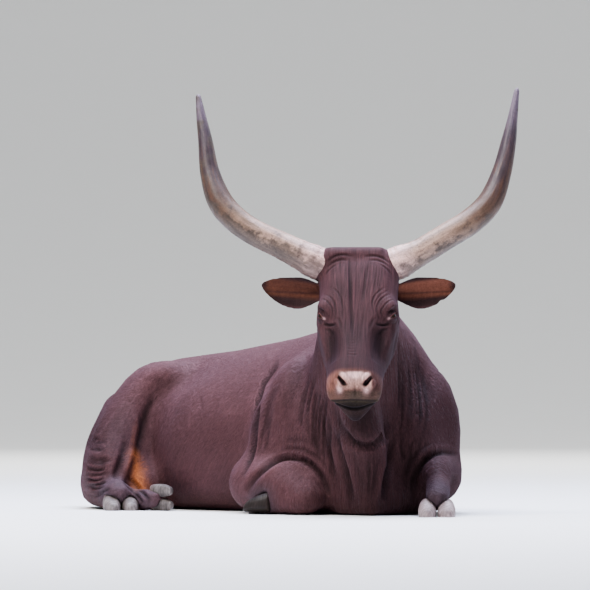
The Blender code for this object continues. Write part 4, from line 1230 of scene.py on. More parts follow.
def horn_material():
    """Horn: pinkish tan and cracked at the base, mottled with grime and darker below as painted shade, brown
    at the bend and a smooth purplish grey towards the tip, lighter at the very end as a painted highlight."""
    m = Nodes("horn_keratin", 0.45, Specular_IOR_Level=0.35)
    place = m.object_place()
    along = m.attribute("Along")
    ramp = m.add("ShaderNodeValToRGB", {"Fac": along})
    elements = ramp.color_ramp.elements
    for k, (at, value) in enumerate(HORN_STOPS):
        element = elements[k] if k < 2 else elements.new(at)
        element.position = at
        element.color = value
    blotch = m.noise(place, 26.0, 6.0, 0.65)
    # painted shade: the grime spreads further where the horn faces down
    below = m.ranged(m.attribute("Under"), -1.4, 0.5, 0.36, -0.08)
    grime_and_shade = m.ranged(m.math("ADD", blotch, below), 0.52, 0.70, 0.0, 1.0)
    grime_and_shade = m.math("MULTIPLY", grime_and_shade, m.ranged(along, 0.00, 0.30, 0.55, 0.88))
    colour = m.mix(grime_and_shade, ramp.outputs["Color"], GRIME_AND_SHADE)
    cracks = m.add("ShaderNodeTexVoronoi", {"Vector": place, "Scale": 48.0, "Randomness": 1.0},
                   feature="DISTANCE_TO_EDGE").outputs["Distance"]
    broken = m.ranged(m.noise(place, 60.0, 3.0), 0.48, 0.60, 0.0, 1.0)
    line = m.math("MULTIPLY", m.ranged(cracks, 0.0, 0.035, 1.0, 0.0), broken)
    line = m.math("MULTIPLY", line, m.ranged(along, 0.25, 0.55, 0.90, 0.0))
    colour = m.mix(line, colour, CRACK)
    run = m.add("ShaderNodeCombineXYZ", {"X": m.attribute("Across"), "Y": m.attribute("Round"),
                                         "Z": m.math("MULTIPLY", along, 3.4)}).outputs["Vector"]
    streak = m.noise(run, 3.4, 5.0, 0.6)
    brown = m.math("MULTIPLY", m.ranged(streak, 0.46, 0.60, 0.0, 1.0), m.ranged(along, 0.36, 0.50, 0.0, 0.85))
    brown = m.math("MULTIPLY", brown, m.ranged(along, 0.62, 0.80, 1.0, 0.25))
    colour = m.varied(m.mix(brown, colour, HORN_BROWN), streak, 0.60, 1.28)
    fibres = m.noise(place, 190.0, 4.0, 0.6)
    colour = m.varied(colour, fibres, 0.84, 1.14)
    normal = m.bump(line, 0.0016, -1.0)
    normal = m.bump(fibres, 0.0009, 0.45, normal)
    normal = m.bump(streak, 0.0030, 0.5, normal)
    normal = m.bump(blotch, 0.0030, 0.35, normal)
    return m.finish(colour, normal, m.ranged(blotch, 0.3, 0.7, 0.34, 0.56))


# Feet: heel, way ahead, way up and space between the claws' middles
FEET = {
    "claw_fore_right": ((-0.338, -0.155, 0.004), (-0.95, 0.32, -0.02), (0.25, 0.15, 0.95), 0.054),
    "claw_fore_left": ((0.152, -0.410, -0.004), (-0.02, -1.0, -0.08), (0.0, -0.08, 1.0), 0.058),
    "claw_hind_right": ((-0.841, 0.360, -0.002), (0.20, -0.98, -0.08), (0.0, -0.08, 1.0), 0.058),
    "claw_hind_left": ((-0.746, 0.300, 0.040), (0.80, -0.60, 0.0), (0.60, 0.80, 0.06), 0.046),
}
# From -1, the dark one of the folded foreleg, to 1, the palest
CLAW_PALENESS = {"claw_fore_right": -1.0, "claw_fore_left": 0.9, "claw_hind_right": 0.25,
                 "claw_hind_left": -0.1}
CLAW_LENGTH = 0.100
CLAW_HEIGHT = 0.064
CLAW_ROWS = 64
CLAW_SIDES = 48
CLEFT = 0.004
SOLE_GAP = 0.0002


def foot_axes(prefix):
    """A foot's heel and its ways ahead, sideways and up, at right angles, and the claws' space."""
    heel, ahead, up, apart = FEET[prefix]
    ahead, up = unit(np.array(ahead, float)), np.array(up, float)
    up = unit(up - ahead * (up @ ahead))
    return np.array(heel), ahead, np.cross(ahead, up), up, apart


def claw_piece(name, heel, ahead, side_way, up, width, pale):
    """One claw: a wedge on a flat sole, tall at the heel, its front wall sloping back from the toe.

    Its section is a superellipse, boxy below and rounder above, narrower at the top. Height falls
    with the power 1.5 of the way to the toe and width with the power 4; each ring leans back by
    its height. Growth rings are sines along the wall.
    """
    t = np.linspace(0, 1, CLAW_ROWS)[:, None]
    angle = np.linspace(0, 2 * np.pi, CLAW_SIDES, endpoint=False)[None, :]
    half = width / 2 * (0.88 + 0.14 * np.sin(np.pi * t) - 0.44 * t ** 4)
    tall = CLAW_HEIGHT * (0.96 - 0.50 * t ** 1.5)
    squeeze = np.clip(np.minimum(t / 0.10, (1 - t) / 0.07), 0, 1) ** 0.5 * 0.55 + 0.45
    c, s = np.cos(angle), np.sin(angle)
    power = np.where(s < 0, 0.45, 0.85)
    rings = 1 + 0.012 * np.sin(t * 55 + 0.8 * np.sin(angle * 3)) * soft_step(s, -0.3, 0.4)
    taper = 1 - 0.16 * np.clip(s, 0, 1)
    wide = np.sign(c) * np.abs(c) ** 0.75 * half * squeeze * rings * taper
    high = (np.sign(s) * np.abs(s) ** power * squeeze * rings + 1) * tall / 2
    lean = CLAW_LENGTH * 0.97 * t - 0.42 * high * t ** 2
    grid = heel + ahead * lean[..., None] + side_way * wide[..., None] + up * high[..., None]
    grid[..., 2] = np.maximum(grid[..., 2], SOLE_GAP)
    piece = closed_piece(name, grid)
    ring_values(piece, "Toe", np.repeat(t, CLAW_SIDES), (0.0, 1.0))
    ring_values(piece, "Pale", np.full(CLAW_ROWS * CLAW_SIDES, pale), (pale, pale))
    return piece


# Pairs of colours that the hoof's blotches lie between
GREY_HOOF = ((0.085, 0.072, 0.068, 1), (0.18, 0.155, 0.146, 1))
PALE_HOOF = ((0.23, 0.175, 0.170, 1), (0.37, 0.30, 0.30, 1))
HEEL_BROWN = (0.20, 0.115, 0.105, 1)
BLACK_HOOF = (0.018, 0.012, 0.010, 1)


def hoof_material():
    """Hoof horn: grey brown with fine upright streaks and pale rings."""
    m = Nodes("hoof_keratin", 0.55, Specular_IOR_Level=0.2)
    place = m.object_place()
    toe, pale = m.attribute("Toe"), m.attribute("Pale")
    streak = m.noise(m.combed(place, (0.1, -0.3, 0.9), 6.0), 160.0, 3.0)
    blotch = m.noise(place, 40.0, 4.0)
    share = m.ranged(blotch, 0.35, 0.68, 0.0, 1.0)
    colour = m.mix(m.ranged(pale, 0.0, 1.0, 0.0, 1.0), m.mix(share, *GREY_HOOF), m.mix(share, *PALE_HOOF))
    colour = m.mix(m.ranged(toe, 0.0, 0.30, 0.7, 0.0), colour, HEEL_BROWN)
    colour = m.mix(m.ranged(pale, -1.0, 0.0, 0.92, 0.0), colour, BLACK_HOOF)
    band = m.math("SINE", m.math("MULTIPLY", m.math("ADD", toe, m.math("MULTIPLY", blotch, 0.05)), 62.0))
    colour = m.mix(1.0, colour, m.ranged(band, -1.0, 1.0, 0.86, 1.10), "MULTIPLY")
    colour = m.varied(colour, streak, 0.80, 1.16)
    normal = m.bump(streak, 0.0010, 0.5)
    return m.finish(colour, m.bump(blotch, 0.0014, 0.4, normal), m.ranged(streak, 0.3, 0.7, 0.40, 0.58))


EYE_SIDES = 56
EYE_GAP = 0.0003
IRIS_BULGE = 0.035


def eye_piece(name, side):
    """An eyeball: a sphere with a low bulge over the iris, its pole to the front."""
    middle, slit, up, out = eye_frame(side)
    polar = np.concatenate((np.linspace(0.01, 0.75, 30), np.linspace(0.80, np.pi - 0.05, 26)))
    radius = (EYE_RADIUS - EYE_GAP) * (1 + IRIS_BULGE * soft_step(0.62 - polar, 0.0, 0.35))[:, None]
    across, upward, ahead = ball_ways(polar, EYE_SIDES)
    ways = slit * across[..., None] + up * upward[..., None] + out * ahead[..., None]
    piece = closed_piece(name, middle + radius[..., None] * ways)
    ring_values(piece, "Across", across)
    ring_values(piece, "Upward", upward)
    return piece


IRIS = ((0.020, 0.009, 0.006, 1), (0.060, 0.026, 0.016, 1))
EYE_WHITE = (0.070, 0.048, 0.042, 1)
PUPIL = (0.002, 0.002, 0.004, 1)


def eye_material():
    """A wet dark brown iris with a wide pupil, fading to a brown white of the eye. How far a
    place is from the middle is the root of a sum of squares, weighted for the wide pupil."""
    m = Nodes("eye_wet", 0.10, Specular_IOR_Level=0.40)
    across, upward = m.attribute("Across"), m.attribute("Upward")
    across, upward = m.math("MULTIPLY", across, across), m.math("MULTIPLY", upward, upward)
    far = m.math("POWER", m.math("ADD", across, upward), 0.5)
    pupil = m.math("ADD", m.math("MULTIPLY", across, 0.5), m.math("MULTIPLY", upward, 2.2))
    pupil = m.math("POWER", pupil, 0.5)
    fibres = m.noise(m.object_place(), 900.0, 3.0)
    iris = m.mix(m.ranged(fibres, 0.3, 0.7, 0.0, 1.0), *IRIS)
    colour = m.mix(m.ranged(far, 0.50, 0.60, 0.0, 1.0), iris, EYE_WHITE)
    return m.finish(m.mix(m.ranged(pupil, 0.20, 0.26, 1.0, 0.0), colour, PUPIL))


def across_skin(way, normals):
    """The part of a way that lies in the skin, brought to length one."""
    return unit(way - normals * (way * normals).sum(1, keepdims=True))


def comb(points, normals, rng):
    """The way the hair lies at layout points: back and down on the trunk, down the neck and legs,
    down the face from a whorl on the forehead and up above it, out along the ears.

    The pull down fades where the skin faces up or down, so that no hair points along its normal.
    """
    a, _, l = to_head(points)
    head = head_share(points)
    steep = (1 - normals[:, 2] ** 2)[:, None]
    down = np.array((0.0, 0.0, -1.0)) * steep
    front = soft_fall(to_world(points)[:, 1], -0.02, 0.25)[:, None]
    along_back = to_layout(np.array((0.0, 0.85, 0.0)))
    way = along_back + down * 0.8
    way = way + (np.array((0.0, 0.35, 0.0)) + down - way) * front
    side_of_face = HEAD_AXES[:, 0] * (np.sign(l) * bell(a - 0.10, 0.06))[:, None]
    down_face = np.where(a[:, None] > 0.10, HEAD_AXES[:, 2], -HEAD_AXES[:, 2]) + 0.7 * side_of_face
    way = way + (down_face - way) * head[:, None]
    for side in (-1, 1):
        along, away = near_ear(points, side)
        on_ear = soft_step(along, 0.05, 0.20) * soft_fall(away, 0.055, 0.070)
        line = unit(np.array(EAR_TIPS[side]) - np.array(EAR_ROOTS[side]))
        way = way + (line - way) * on_ear[:, None]
    return across_skin(across_skin(way, normals) + rng.normal(0, 0.10, way.shape), normals)


def skin_samples(skin, weight, count, rng):
    """Random places on the skin, as many per area as the weight at its points says."""
    mesh = skin.data
    corners = np.empty(len(mesh.polygons) * 3, np.int32)
    mesh.polygons.foreach_get("vertices", corners)
    corners = corners.reshape(-1, 3)
    points, normals = to_layout(points_of(mesh)), to_layout(normals_of(mesh))
    p0, p1, p2 = (points[corners[:, k]] for k in range(3))
    area = np.linalg.norm(np.cross(p1 - p0, p2 - p0), axis=1) / 2
    share = area * weight[corners].mean(1)
    chosen = rng.choice(len(corners), size=count, p=share / share.sum())
    r, s = rng.random((2, count, 1))
    root = np.sqrt(r)
    mixes = (1 - root, root * (1 - s), root * s)
    place = sum(mix * points[corners[chosen, k]] for k, mix in enumerate(mixes))
    normal = unit(sum(mix * normals[corners[chosen, k]] for k, mix in enumerate(mixes)))
    folds = values_of(mesh, "Fold")
    fold = sum(mix[:, 0] * folds[corners[chosen, k]] for k, mix in enumerate(mixes))
    return place, normal, fold


TUFT_SPOT = 0.003
TUFT_POINTS = 7
# Tone of each tuft's points: darker at the root, lighter towards the tip, and each row's ridge lighter than
# its edges, a painted highlight
TUFT_SHADES = (0.86, 0.92, 0.86, 1.0, 1.06, 1.0, 1.18)
TUFT_SPOTS = ((-1, -1), (0, -1), (1, -1), (-1, 0), (0, 0), (1, 0), (0, 1))
FLOOR_GAP = 0.0003
ROOT_SUNK = 0.0006
EDGE_SUNK = 0.0002


def laid_on(skin, points):
    """The places on the skin nearest to layout points."""
    piece = new_piece("laid", to_world(points), [])
    modifier = piece.modifiers.new("lay", "SHRINKWRAP")
    modifier.target = skin
    modifier.wrap_method = "NEAREST_SURFACEPOINT"
    modifier.wrap_mode = "ON_SURFACE"
    apply_modifiers(piece)
    laid = to_layout(points_of(piece.data))
    mesh = piece.data
    bpy.data.objects.remove(piece, do_unlink=True)
    bpy.data.meshes.remove(mesh)
    return laid


def tufts_piece(name, skin, roots, normals, ways, length, width, lift, colour, unwrap, rng):
    """Many thin tufts in one mesh. Each is a low roof of three points at the root, three in the
    middle and one at the tip. Middle and tip are laid on the skin along the tuft's way and then
    lifted, the tip more than the middle."""
    count = len(roots)
    sizes = (length, width, lift)
    length, width, lift = (np.broadcast_to(np.asarray(v, float), (count,))[:, None] for v in sizes)
    across = np.cross(normals, ways)
    bend = across * rng.normal(0, 0.12, (count, 1)) * length
    middle = roots + ways * length * 0.5 + bend * 0.4
    tip = roots + ways * length + bend
    middle, tip = np.split(laid_on(skin, np.vstack((middle, tip))), 2)
    rows = (
        roots - across * width * 0.5 - normals * ROOT_SUNK,
        roots + normals * (width * 0.30 - ROOT_SUNK),
        roots + across * width * 0.5 - normals * ROOT_SUNK,
        middle - across * width * 0.46 + normals * (lift * 0.5 - EDGE_SUNK),
        middle + normals * (lift * 0.5 + width * 0.22),
        middle + across * width * 0.46 + normals * (lift * 0.5 - EDGE_SUNK),
        tip + normals * lift,
    )
    points = np.stack(rows, 1).reshape(-1, 3)
    points[:, 2] = np.maximum(points[:, 2], FLOOR_GAP)
    base = (np.arange(count) * TUFT_POINTS)[:, None]
    quads = np.concatenate((base + (0, 1, 4, 3), base + (1, 2, 5, 4)))
    tips = np.concatenate((base + (3, 4, 6), base + (4, 5, 6)))
    piece = new_piece(name, to_world(points), quads.tolist() + tips.tolist())
    each = rng.normal(1.0, 0.10, (count, 1, 1))
    colour_points(piece.data, (colour[:, None] * np.array(TUFT_SHADES)[None, :, None] * each).reshape(-1, 3))
    spot = np.array(TUFT_SPOTS, float) * TUFT_SPOT / 2
    place = (unwrap[:, None] + spot[None]).reshape(-1, 2)
    corners = np.empty(len(piece.data.loops), np.int32)
    piece.data.loops.foreach_get("vertex_index", corners)
    layer = piece.data.uv_layers.new(name="OFBake")
    layer.uv.foreach_set("vector", np.clip(place, 0.001, 0.999)[corners].astype(np.float32).ravel())
    return piece


EAR_MIDDLE = (-0.315, 0.690)                    # y and z of the ears' long axes
TRUNK_MIDDLE = (-0.02, 0.26)                    # x and z of the trunk's, in the model's frame


def spread(values):
    """Values spread evenly over the unwrap's square, less a narrow border."""
    return 0.01 + 0.98 * (values - values.min()) / max(values.max() - values.min(), 1e-6)


def turn_share(one, two):
    """An angle as a share of a full turn."""
    return np.arctan2(one, two) / (2 * np.pi) + 0.5


def unrolled(points, region):
    """The skin of a region unrolled round its own length: u is the turn round the axis of the
    part, v the way along it, each spread over the square. Each ear has half of the square."""
    if region == "head":
        a, n, l = to_head(points)
        return np.stack((spread(turn_share(l, n + 0.10)), spread(a)), 1)
    if region == "ears":
        left = points[:, 0] > POLL[0]
        along = np.where(left, near_ear(points, 1)[0], near_ear(points, -1)[0])
        turn = turn_share(points[:, 2] - EAR_MIDDLE[1], points[:, 1] - EAR_MIDDLE[0])
        u = np.where(left, 0.52 + 0.46 * turn, 0.02 + 0.46 * turn)
        return np.stack((np.clip(u, 0.005, 0.995), spread(along)), 1)
    x, y, z = to_world(points).T
    turn = turn_share(x - TRUNK_MIDDLE[0], TRUNK_MIDDLE[1] - z)
    return np.stack((spread(turn), spread(y)), 1)


def region_weights(skin):
    """For each coat region, where on the skin its tufts grow."""
    points = to_layout(points_of(skin.data))
    model = to_world(points)
    head = head_share(points)
    ear = np.zeros(len(points))
    bare = soft_step(to_head(points)[0], *BARE_NOSE) * head
    for side in (-1, 1):
        along, away = near_ear(points, side)
        ear = np.maximum(ear, soft_step(along, 0.05, 0.15) * soft_fall(away, 0.055, 0.070))
        middle = from_head(*EYE_PLACE[:2], side * EYE_PLACE[2])
        bare = np.maximum(bare, soft_fall(np.linalg.norm(points - middle, axis=1), 0.026, 0.034))
    for prefix in FEET:
        heel, ahead, *_ = foot_axes(prefix)
        toe = heel + ahead * CLAW_LENGTH / 2
        away = np.linalg.norm(points - toe, axis=1)
        bare = np.maximum(bare, soft_fall(away, 0.045, 0.055))
    above = soft_step(points[:, 2], 0.004, 0.02)
    clear = np.clip(above - bare, 0, 1)
    body = (1 - head) * clear
    behind = soft_step(model[:, 1], 0.00, 0.06)
    rump = soft_step(model[:, 1], 0.60, 0.66)
    right = (model[:, 0] < 0.0).astype(float)
    return {
        "neck_right": body * (1 - behind) * right,
        "neck_left": body * (1 - behind) * (1 - right),
        "flank_right": body * behind * (1 - rump) * right,
        "flank_left": body * behind * (1 - rump) * (1 - right),
        "rump_right": body * rump * right,
        "rump_left": body * rump * (1 - right),
        "head": head * (1 - ear) * clear,
        "ears": ear * clear,
    }


def dress(piece, finish, slot, *nodes):
    """Give a piece its material, ride it on the one body, and let it stand for the given solids."""
    piece.data.materials.clear()
    piece.data.materials.append(finish)
    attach(piece, "root")
    if nodes:
        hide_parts(*nodes)


class CowSkinSettings(bpy.types.PropertyGroup):
    """Start of the skin's random folds."""
    seed: bpy.props.IntProperty(name="Seed", description="Start of the random folds", default=7)


class CowCoatSettings(bpy.types.PropertyGroup):
    """Sizes and colour of the coat."""
    body_tufts: bpy.props.IntProperty(
        name="Body tufts", description="Tufts in each body piece", default=30000)
    length: bpy.props.FloatProperty(
        name="Hair length", description="Length of the body's tufts", default=0.013, unit="LENGTH")
    width: bpy.props.FloatProperty(
        name="Tuft width", description="Width of the body's tufts", default=0.0015, unit="LENGTH")
    lift: bpy.props.FloatProperty(
        name="Tuft lift", description="Height of the tufts' tips", default=0.0009, unit="LENGTH")
    colour: bpy.props.FloatVectorProperty(
        name="Coat colour", description="Main colour of skin and coat", subtype="COLOR", size=3,
        default=CHESTNUT, min=0.0, max=1.0)


class CowStageSettings(bpy.types.PropertyGroup):
    """Light and floor."""
    floor_colour: bpy.props.FloatVectorProperty(
        name="Floor", description="Colour of the floor", subtype="COLOR", size=3,
        default=(0.80, 0.79, 0.77), min=0.0, max=1.0)
    light: bpy.props.FloatProperty(
        name="Light", description="Strength of the lights", default=1.0, min=0.0)


NOSE_SPOT = ((0.47, -0.02, 0.004), 0.085)       # where the skin is split finer: a, n, l and reach
CHIN_SPOT = ((0.50, -0.08, 0.0), 0.075)
EYE_REACH = 0.042


class COW_OT_skin(bpy.types.Operator):
    """Fuse and sculpt the skin."""
    bl_idname = "cow.skin"
    bl_label = "Skin"

    def execute(self, context):
        rng = np.random.default_rng(context.scene.cow_skin.seed)
        skin = build_skin()
        sculpt_body(skin.data, rng)
        spots = [(from_head(*place), reach) for place, reach in (NOSE_SPOT, CHIN_SPOT)]
        refine(skin, spots + [(eye_frame(side)[0], EYE_REACH) for side in (-1, 1)])
        sculpt_face(skin.data, rng)
        sculpt_eyes(skin.data)
        keep_above_floor(skin.data)
        thin_skin(skin)
        mark_skin(skin.data)
        if len(skin.data.polygons) >= PIECE_LIMIT:
            raise RuntimeError("the skin has too many triangles")
        dress(skin, skin_material(), "coat", *FLESH, "ear_left", "ear_right", "tail")
        return {"FINISHED"}


class COW_OT_horns(bpy.types.Operator):
    """Make both horns."""
    bl_idname = "cow.horns"
    bl_label = "Horns"

    def execute(self, context):
        finish = horn_material()
        for side, path in HORN_PATHS.items():
            dress(horn_piece(f"horn_{side}_ringed", path), finish, "horn", f"horn_{side}")
        return {"FINISHED"}


class COW_OT_claws(bpy.types.Operator):
    """Make the eight claws."""
    bl_idname = "cow.claws"
    bl_label = "Claws"

    def execute(self, context):
        finish = hoof_material()
        for prefix, pale in CLAW_PALENESS.items():
            heel, ahead, side_way, up, apart = foot_axes(prefix)
            for label, sign in (("outer", 1), ("inner", -1)):
                start = heel + side_way * sign * apart / 2
                piece = claw_piece(f"{prefix}_{label}_horn", start, ahead, side_way, up, apart - CLEFT, pale)
                dress(piece, finish, "hoof", f"{prefix}_{label}")
        return {"FINISHED"}


class COW_OT_eyes(bpy.types.Operator):
    """Make both eyeballs."""
    bl_idname = "cow.eyes"
    bl_label = "Eyes"

    def execute(self, context):
        finish = eye_material()
        for name, side in (("right", -1), ("left", 1)):
            dress(eye_piece(f"eye_{name}_ball", side), finish, "eye", f"eye_{name}")
        return {"FINISHED"}


COAT_SEED = 11
# Length, width and number of a region's tufts, as shares of the body's
COAT_SIZES = {"head": (0.42, 0.55, 1.0), "ears": (0.75, 0.50, 0.5)}


class COW_OT_coat(bpy.types.Operator):
    """Lay tufts of short hair over the skin."""
    bl_idname = "cow.coat"
    bl_label = "Coat"

    def execute(self, context):
        settings = context.scene.cow_coat
        skin = bpy.data.objects["skin"]
        rng = np.random.default_rng(COAT_SEED)
        finish = coat_material()
        for region, weight in region_weights(skin).items():
            long, wide, many = COAT_SIZES.get(region, (1.0, 1.0, 1.0))
            count = int(settings.body_tufts * many * (1.0))
            roots, normals, fold = skin_samples(skin, weight, count, rng)
            ways = comb(roots, normals, rng)
            length = settings.length * long * rng.uniform(0.7, 1.3, count)
            width = settings.width * wide * rng.uniform(0.7, 1.3, count)
            lift = settings.lift * long ** 1.5 * rng.uniform(0.4, 1.6, count)
            piece = tufts_piece(f"coat_{region}", skin, roots, normals, ways, length, width, lift,
                                markings(roots, normals, fold), unrolled(roots, region), rng)
            dress(piece, finish, "coat")
        return {"FINISHED"}


# The switch in millimetres: x, y, z and half width
SWITCH_PATH = (
    (-600, 1048, 12.5, 10), (-560, 1028, 15, 20), (-510, 1000, 18, 29), (-450, 965, 16.5, 28),
    (-400, 935, 10, 16),
)
SWITCH_SEED = 5
SWITCH_STEPS = 100
LOCKS = 420
LOCK_ROWS = 14
LOCK_CORNERS = ((1.0, 0.0), (0.0, 0.6), (-1.0, 0.0), (0.0, -0.6))
LOCK_RADIUS = 0.0030


def switch_piece(name, rng):
    """The tail's switch: long locks, each a flat tapering tube of four sides along its own copy of
    the switch's line, spread over a low oval that swells and closes again."""
    t = np.linspace(0, 1, LOCK_ROWS)
    start = rng.uniform(0.0, 0.45, LOCKS)
    span = rng.uniform(0.35, 0.55, LOCKS)
    line = spline(in_metres(SWITCH_PATH), SWITCH_STEPS + 1)
    at = np.clip(start[:, None] + span[:, None] * t, 0, 1) * SWITCH_STEPS
    k = np.minimum(at.astype(int), SWITCH_STEPS - 1)
    here = line[k] + (line[k + 1] - line[k]) * (at - k)[..., None]
    up = np.array((0.0, 0.0, 1.0))
    side = unit(np.cross(unit(line[k + 1, :3] - line[k, :3]), up))
    turn, out = rng.uniform(0, 2 * np.pi, LOCKS), np.sqrt(rng.uniform(0.05, 1, LOCKS))
    wave = 0.0022 * np.sin(t * 9.0 + rng.uniform(0, 6.28, (LOCKS, 1)))
    sideways = (out * np.cos(turn))[:, None] * here[..., 3] + wave
    centre = here[..., :3] + side * sideways[..., None]
    centre[..., 2] += (out * np.sin(turn))[:, None] * here[..., 3] * 0.40
    taper = np.sin(np.pi * np.clip(t * 0.93 + 0.05, 0, 1)) ** 0.6
    thick = LOCK_RADIUS * taper[None, :] * rng.uniform(0.6, 1.2, (LOCKS, 1))
    rings = [centre + side * (thick * x)[..., None] + up * (thick * z)[..., None] for x, z in LOCK_CORNERS]
    rings = np.stack(rings, 2)
    rings[..., 2] = np.maximum(rings[..., 2], FLOOR_GAP)
    sides = len(LOCK_CORNERS)
    base = (np.arange(LOCKS) * LOCK_ROWS * sides)[:, None]
    faces = (grid_faces(LOCK_ROWS, sides, True)[None] + base[..., None]).reshape(-1, 4)
    first = base + (3, 2, 1, 0)
    last = base + (LOCK_ROWS - 1) * sides + (0, 1, 2, 3)
    piece = new_piece(name, to_world(rings.reshape(-1, 3)), np.concatenate((faces, first, last)))
    face_outwards(piece)
    value_points(piece.data, "Along", np.repeat(np.tile(t, LOCKS), sides))
    value_points(piece.data, "Lock", np.repeat(rng.random(LOCKS), LOCK_ROWS * sides))
    return piece


SWITCH_ROOT = (0.020, 0.011, 0.010, 1)
SWITCH_TIP = (0.060, 0.032, 0.026, 1)


def switch_material():
    """Long hair: near black brown, paler towards the tips and from lock to lock."""
    m = Nodes("switch_hair", 0.45, Specular_IOR_Level=0.4)
    hairs = m.noise(m.combed(m.object_place(), to_world(np.array((0.85, -0.5, 0.0))), 14.0), 900.0, 2.0)
    colour = m.mix(m.attribute("Along"), SWITCH_ROOT, SWITCH_TIP)
    colour = m.mix(1.0, colour, m.ranged(m.attribute("Lock"), 0.0, 1.0, 0.65, 1.35), "MULTIPLY")
    colour = m.varied(colour, hairs, 0.75, 1.25)
    return m.finish(colour, m.bump(hairs, 0.0006, 0.6), m.ranged(hairs, 0.3, 0.7, 0.38, 0.56))


class COW_OT_switch(bpy.types.Operator):
    """Make the long hair at the tail's end."""
    bl_idname = "cow.switch"
    bl_label = "Tail switch"

    def execute(self, context):
        piece = switch_piece("tail_switch_locks", np.random.default_rng(SWITCH_SEED))
        dress(piece, switch_material(), "long_hair", "tail_switch")
        return {"FINISHED"}


# The floor is flat out to its reach and then rises on a quarter of an oval
FLOOR_REACH = 22.0
COVE_DEPTH = 16.0
COVE_HEIGHT = 12.0
FLAT_RINGS = 12
COVE_RINGS = 16
FLOOR_SIDES = 96
FLOOR_FLECK = (0.70, 0.69, 0.67, 1)
ROOM_LIGHT = (0.86, 0.92, 1.0, 1)
ROOM_STRENGTH = 0.36
STAGE_MIDDLE = (-0.25, 0.2, 0.4)
# Lamps: name, place and aim in the layout frame, size, power and colour
LAMPS = (
    ("key", (-3.4, -3.2, 6.2), STAGE_MIDDLE, 2.6, 560.0, (1.0, 0.97, 0.94)),
    ("sky", (0.0, 1.0, 7.0), STAGE_MIDDLE, 6.0, 1700.0, (0.72, 0.78, 1.0)),
    ("rim", (5.0, 4.0, 3.0), STAGE_MIDDLE, 3.0, 90.0, (0.92, 0.95, 1.0)),
    ("backdrop", (0.0, 10.0, 11.0), (0.0, 26.0, 0.0), 10.0, 3000.0, (1.0, 1.0, 1.0)),
)


def placed(name, data, place, aim):
    """A linked object at a layout place, looking at another."""
    item = bpy.data.objects.new(name, data)
    bpy.context.scene.collection.objects.link(item)
    item.location = Vector(to_world(place))
    way = Vector(to_world(aim)) - item.location
    item.rotation_euler = way.to_track_quat("-Z", "Y").to_euler()
    return item


def floor_piece(name):
    """A flat disc of rings whose rim sweeps up: beyond the flat part the reach grows with the sine
    of an angle and the height with one less its cosine."""
    angle = np.linspace(0.08, np.pi / 2, COVE_RINGS)
    flat = np.linspace(0.01, FLOOR_REACH, FLAT_RINGS)
    reach = np.concatenate((flat, FLOOR_REACH + COVE_DEPTH * np.sin(angle)))[:, None]
    rise = np.concatenate((np.zeros(FLAT_RINGS), COVE_HEIGHT * (1 - np.cos(angle))))[:, None]
    turn = np.linspace(0, 2 * np.pi, FLOOR_SIDES, endpoint=False)
    grid = np.stack((reach * np.cos(turn), reach * np.sin(turn), rise * np.ones(FLOOR_SIDES)), -1)
    rows = FLAT_RINGS + COVE_RINGS
    here = np.arange(FLOOR_SIDES)
    middle = np.stack((np.full(FLOOR_SIDES, rows * FLOOR_SIDES), here, (here + 1) % FLOOR_SIDES), 1)
    faces = grid_faces(rows, FLOOR_SIDES, True).tolist() + middle.tolist()
    return new_piece(name, np.vstack((grid.reshape(-1, 3), (0, 0, 0))), faces)


def floor_material(colour):
    """Matt paper with faint flecks."""
    m = Nodes("floor_paper", 0.85, Specular_IOR_Level=0.15)
    grain = m.noise(m.object_place(), 3.0, 3.0)
    return m.finish(m.mix(m.ranged(grain, 0.3, 0.7, 0.0, 0.04), tuple(colour) + (1.0,), FLOOR_FLECK))


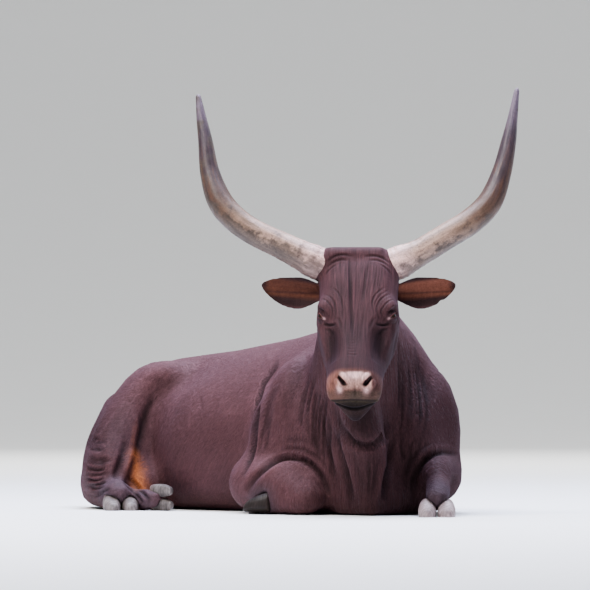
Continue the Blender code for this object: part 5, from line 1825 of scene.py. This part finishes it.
class COW_OT_stage(bpy.types.Operator):
    """Make the floor, the lights and the camera."""
    bl_idname = "cow.stage"
    bl_label = "Stage"

    def execute(self, context):
        settings = context.scene.cow_stage
        floor = floor_piece("studio_floor")
        floor.data.materials.append(floor_material(settings.floor_colour))

        world = context.scene.world or bpy.data.worlds.new("studio")
        context.scene.world = world
        world.use_nodes = True
        background = world.node_tree.nodes["Background"]
        background.inputs["Color"].default_value = ROOM_LIGHT
        background.inputs["Strength"].default_value = ROOM_STRENGTH * settings.light
        context.scene.view_settings.look = "AgX - Medium High Contrast"
        for name, place, aim, size, power, colour in LAMPS:
            lamp = bpy.data.lights.new(name, "AREA")
            lamp.size = size
            lamp.energy = power * settings.light
            lamp.color = colour
            placed(name, lamp, place, aim)

        camera = bpy.data.cameras.new("camera")
        camera.lens = CAMERA_LENS
        camera.sensor_width = SENSOR
        camera.clip_end = 200.0
        context.scene.camera = placed("camera", camera, CAMERA, CAMERA_AIM)
        return {"FINISHED"}


PIECES = (COW_OT_skin, COW_OT_horns, COW_OT_claws, COW_OT_eyes, COW_OT_coat, COW_OT_switch, COW_OT_stage)


class COW_PT_panel(bpy.types.Panel):
    """Lists the pieces in the sidebar."""
    bl_idname = "COW_PT_panel"
    bl_label = "Resting cow"
    bl_space_type = "VIEW_3D"
    bl_region_type = "UI"
    bl_category = "Cow"

    def draw(self, context):
        for piece in PIECES:
            self.layout.operator(piece.bl_idname)
        for group in (context.scene.cow_skin, context.scene.cow_coat, context.scene.cow_stage):
            for key in group.bl_rna.properties.keys():
                if key not in ("rna_type", "name"):
                    self.layout.prop(group, key)


GROUPS = {"cow_skin": CowSkinSettings, "cow_coat": CowCoatSettings, "cow_stage": CowStageSettings}


def register():
    """Make the settings, operators and panel known."""
    for key, group in GROUPS.items():
        bpy.utils.register_class(group)
        setattr(bpy.types.Scene, key, bpy.props.PointerProperty(type=group))
    for piece in PIECES + (COW_PT_panel,):
        bpy.utils.register_class(piece)


def unregister():
    """Forget them again."""
    for piece in (COW_PT_panel,) + PIECES[::-1]:
        bpy.utils.unregister_class(piece)
    for key, group in GROUPS.items():
        delattr(bpy.types.Scene, key)
        bpy.utils.unregister_class(group)


def main():
    """Make every piece."""
    register()
    bpy.ops.cow.skin()
    bpy.ops.cow.horns()
    bpy.ops.cow.claws()
    bpy.ops.cow.eyes()
    bpy.ops.cow.coat()
    bpy.ops.cow.switch()
    bpy.ops.cow.stage()


if __name__ == "__main__":
    main()
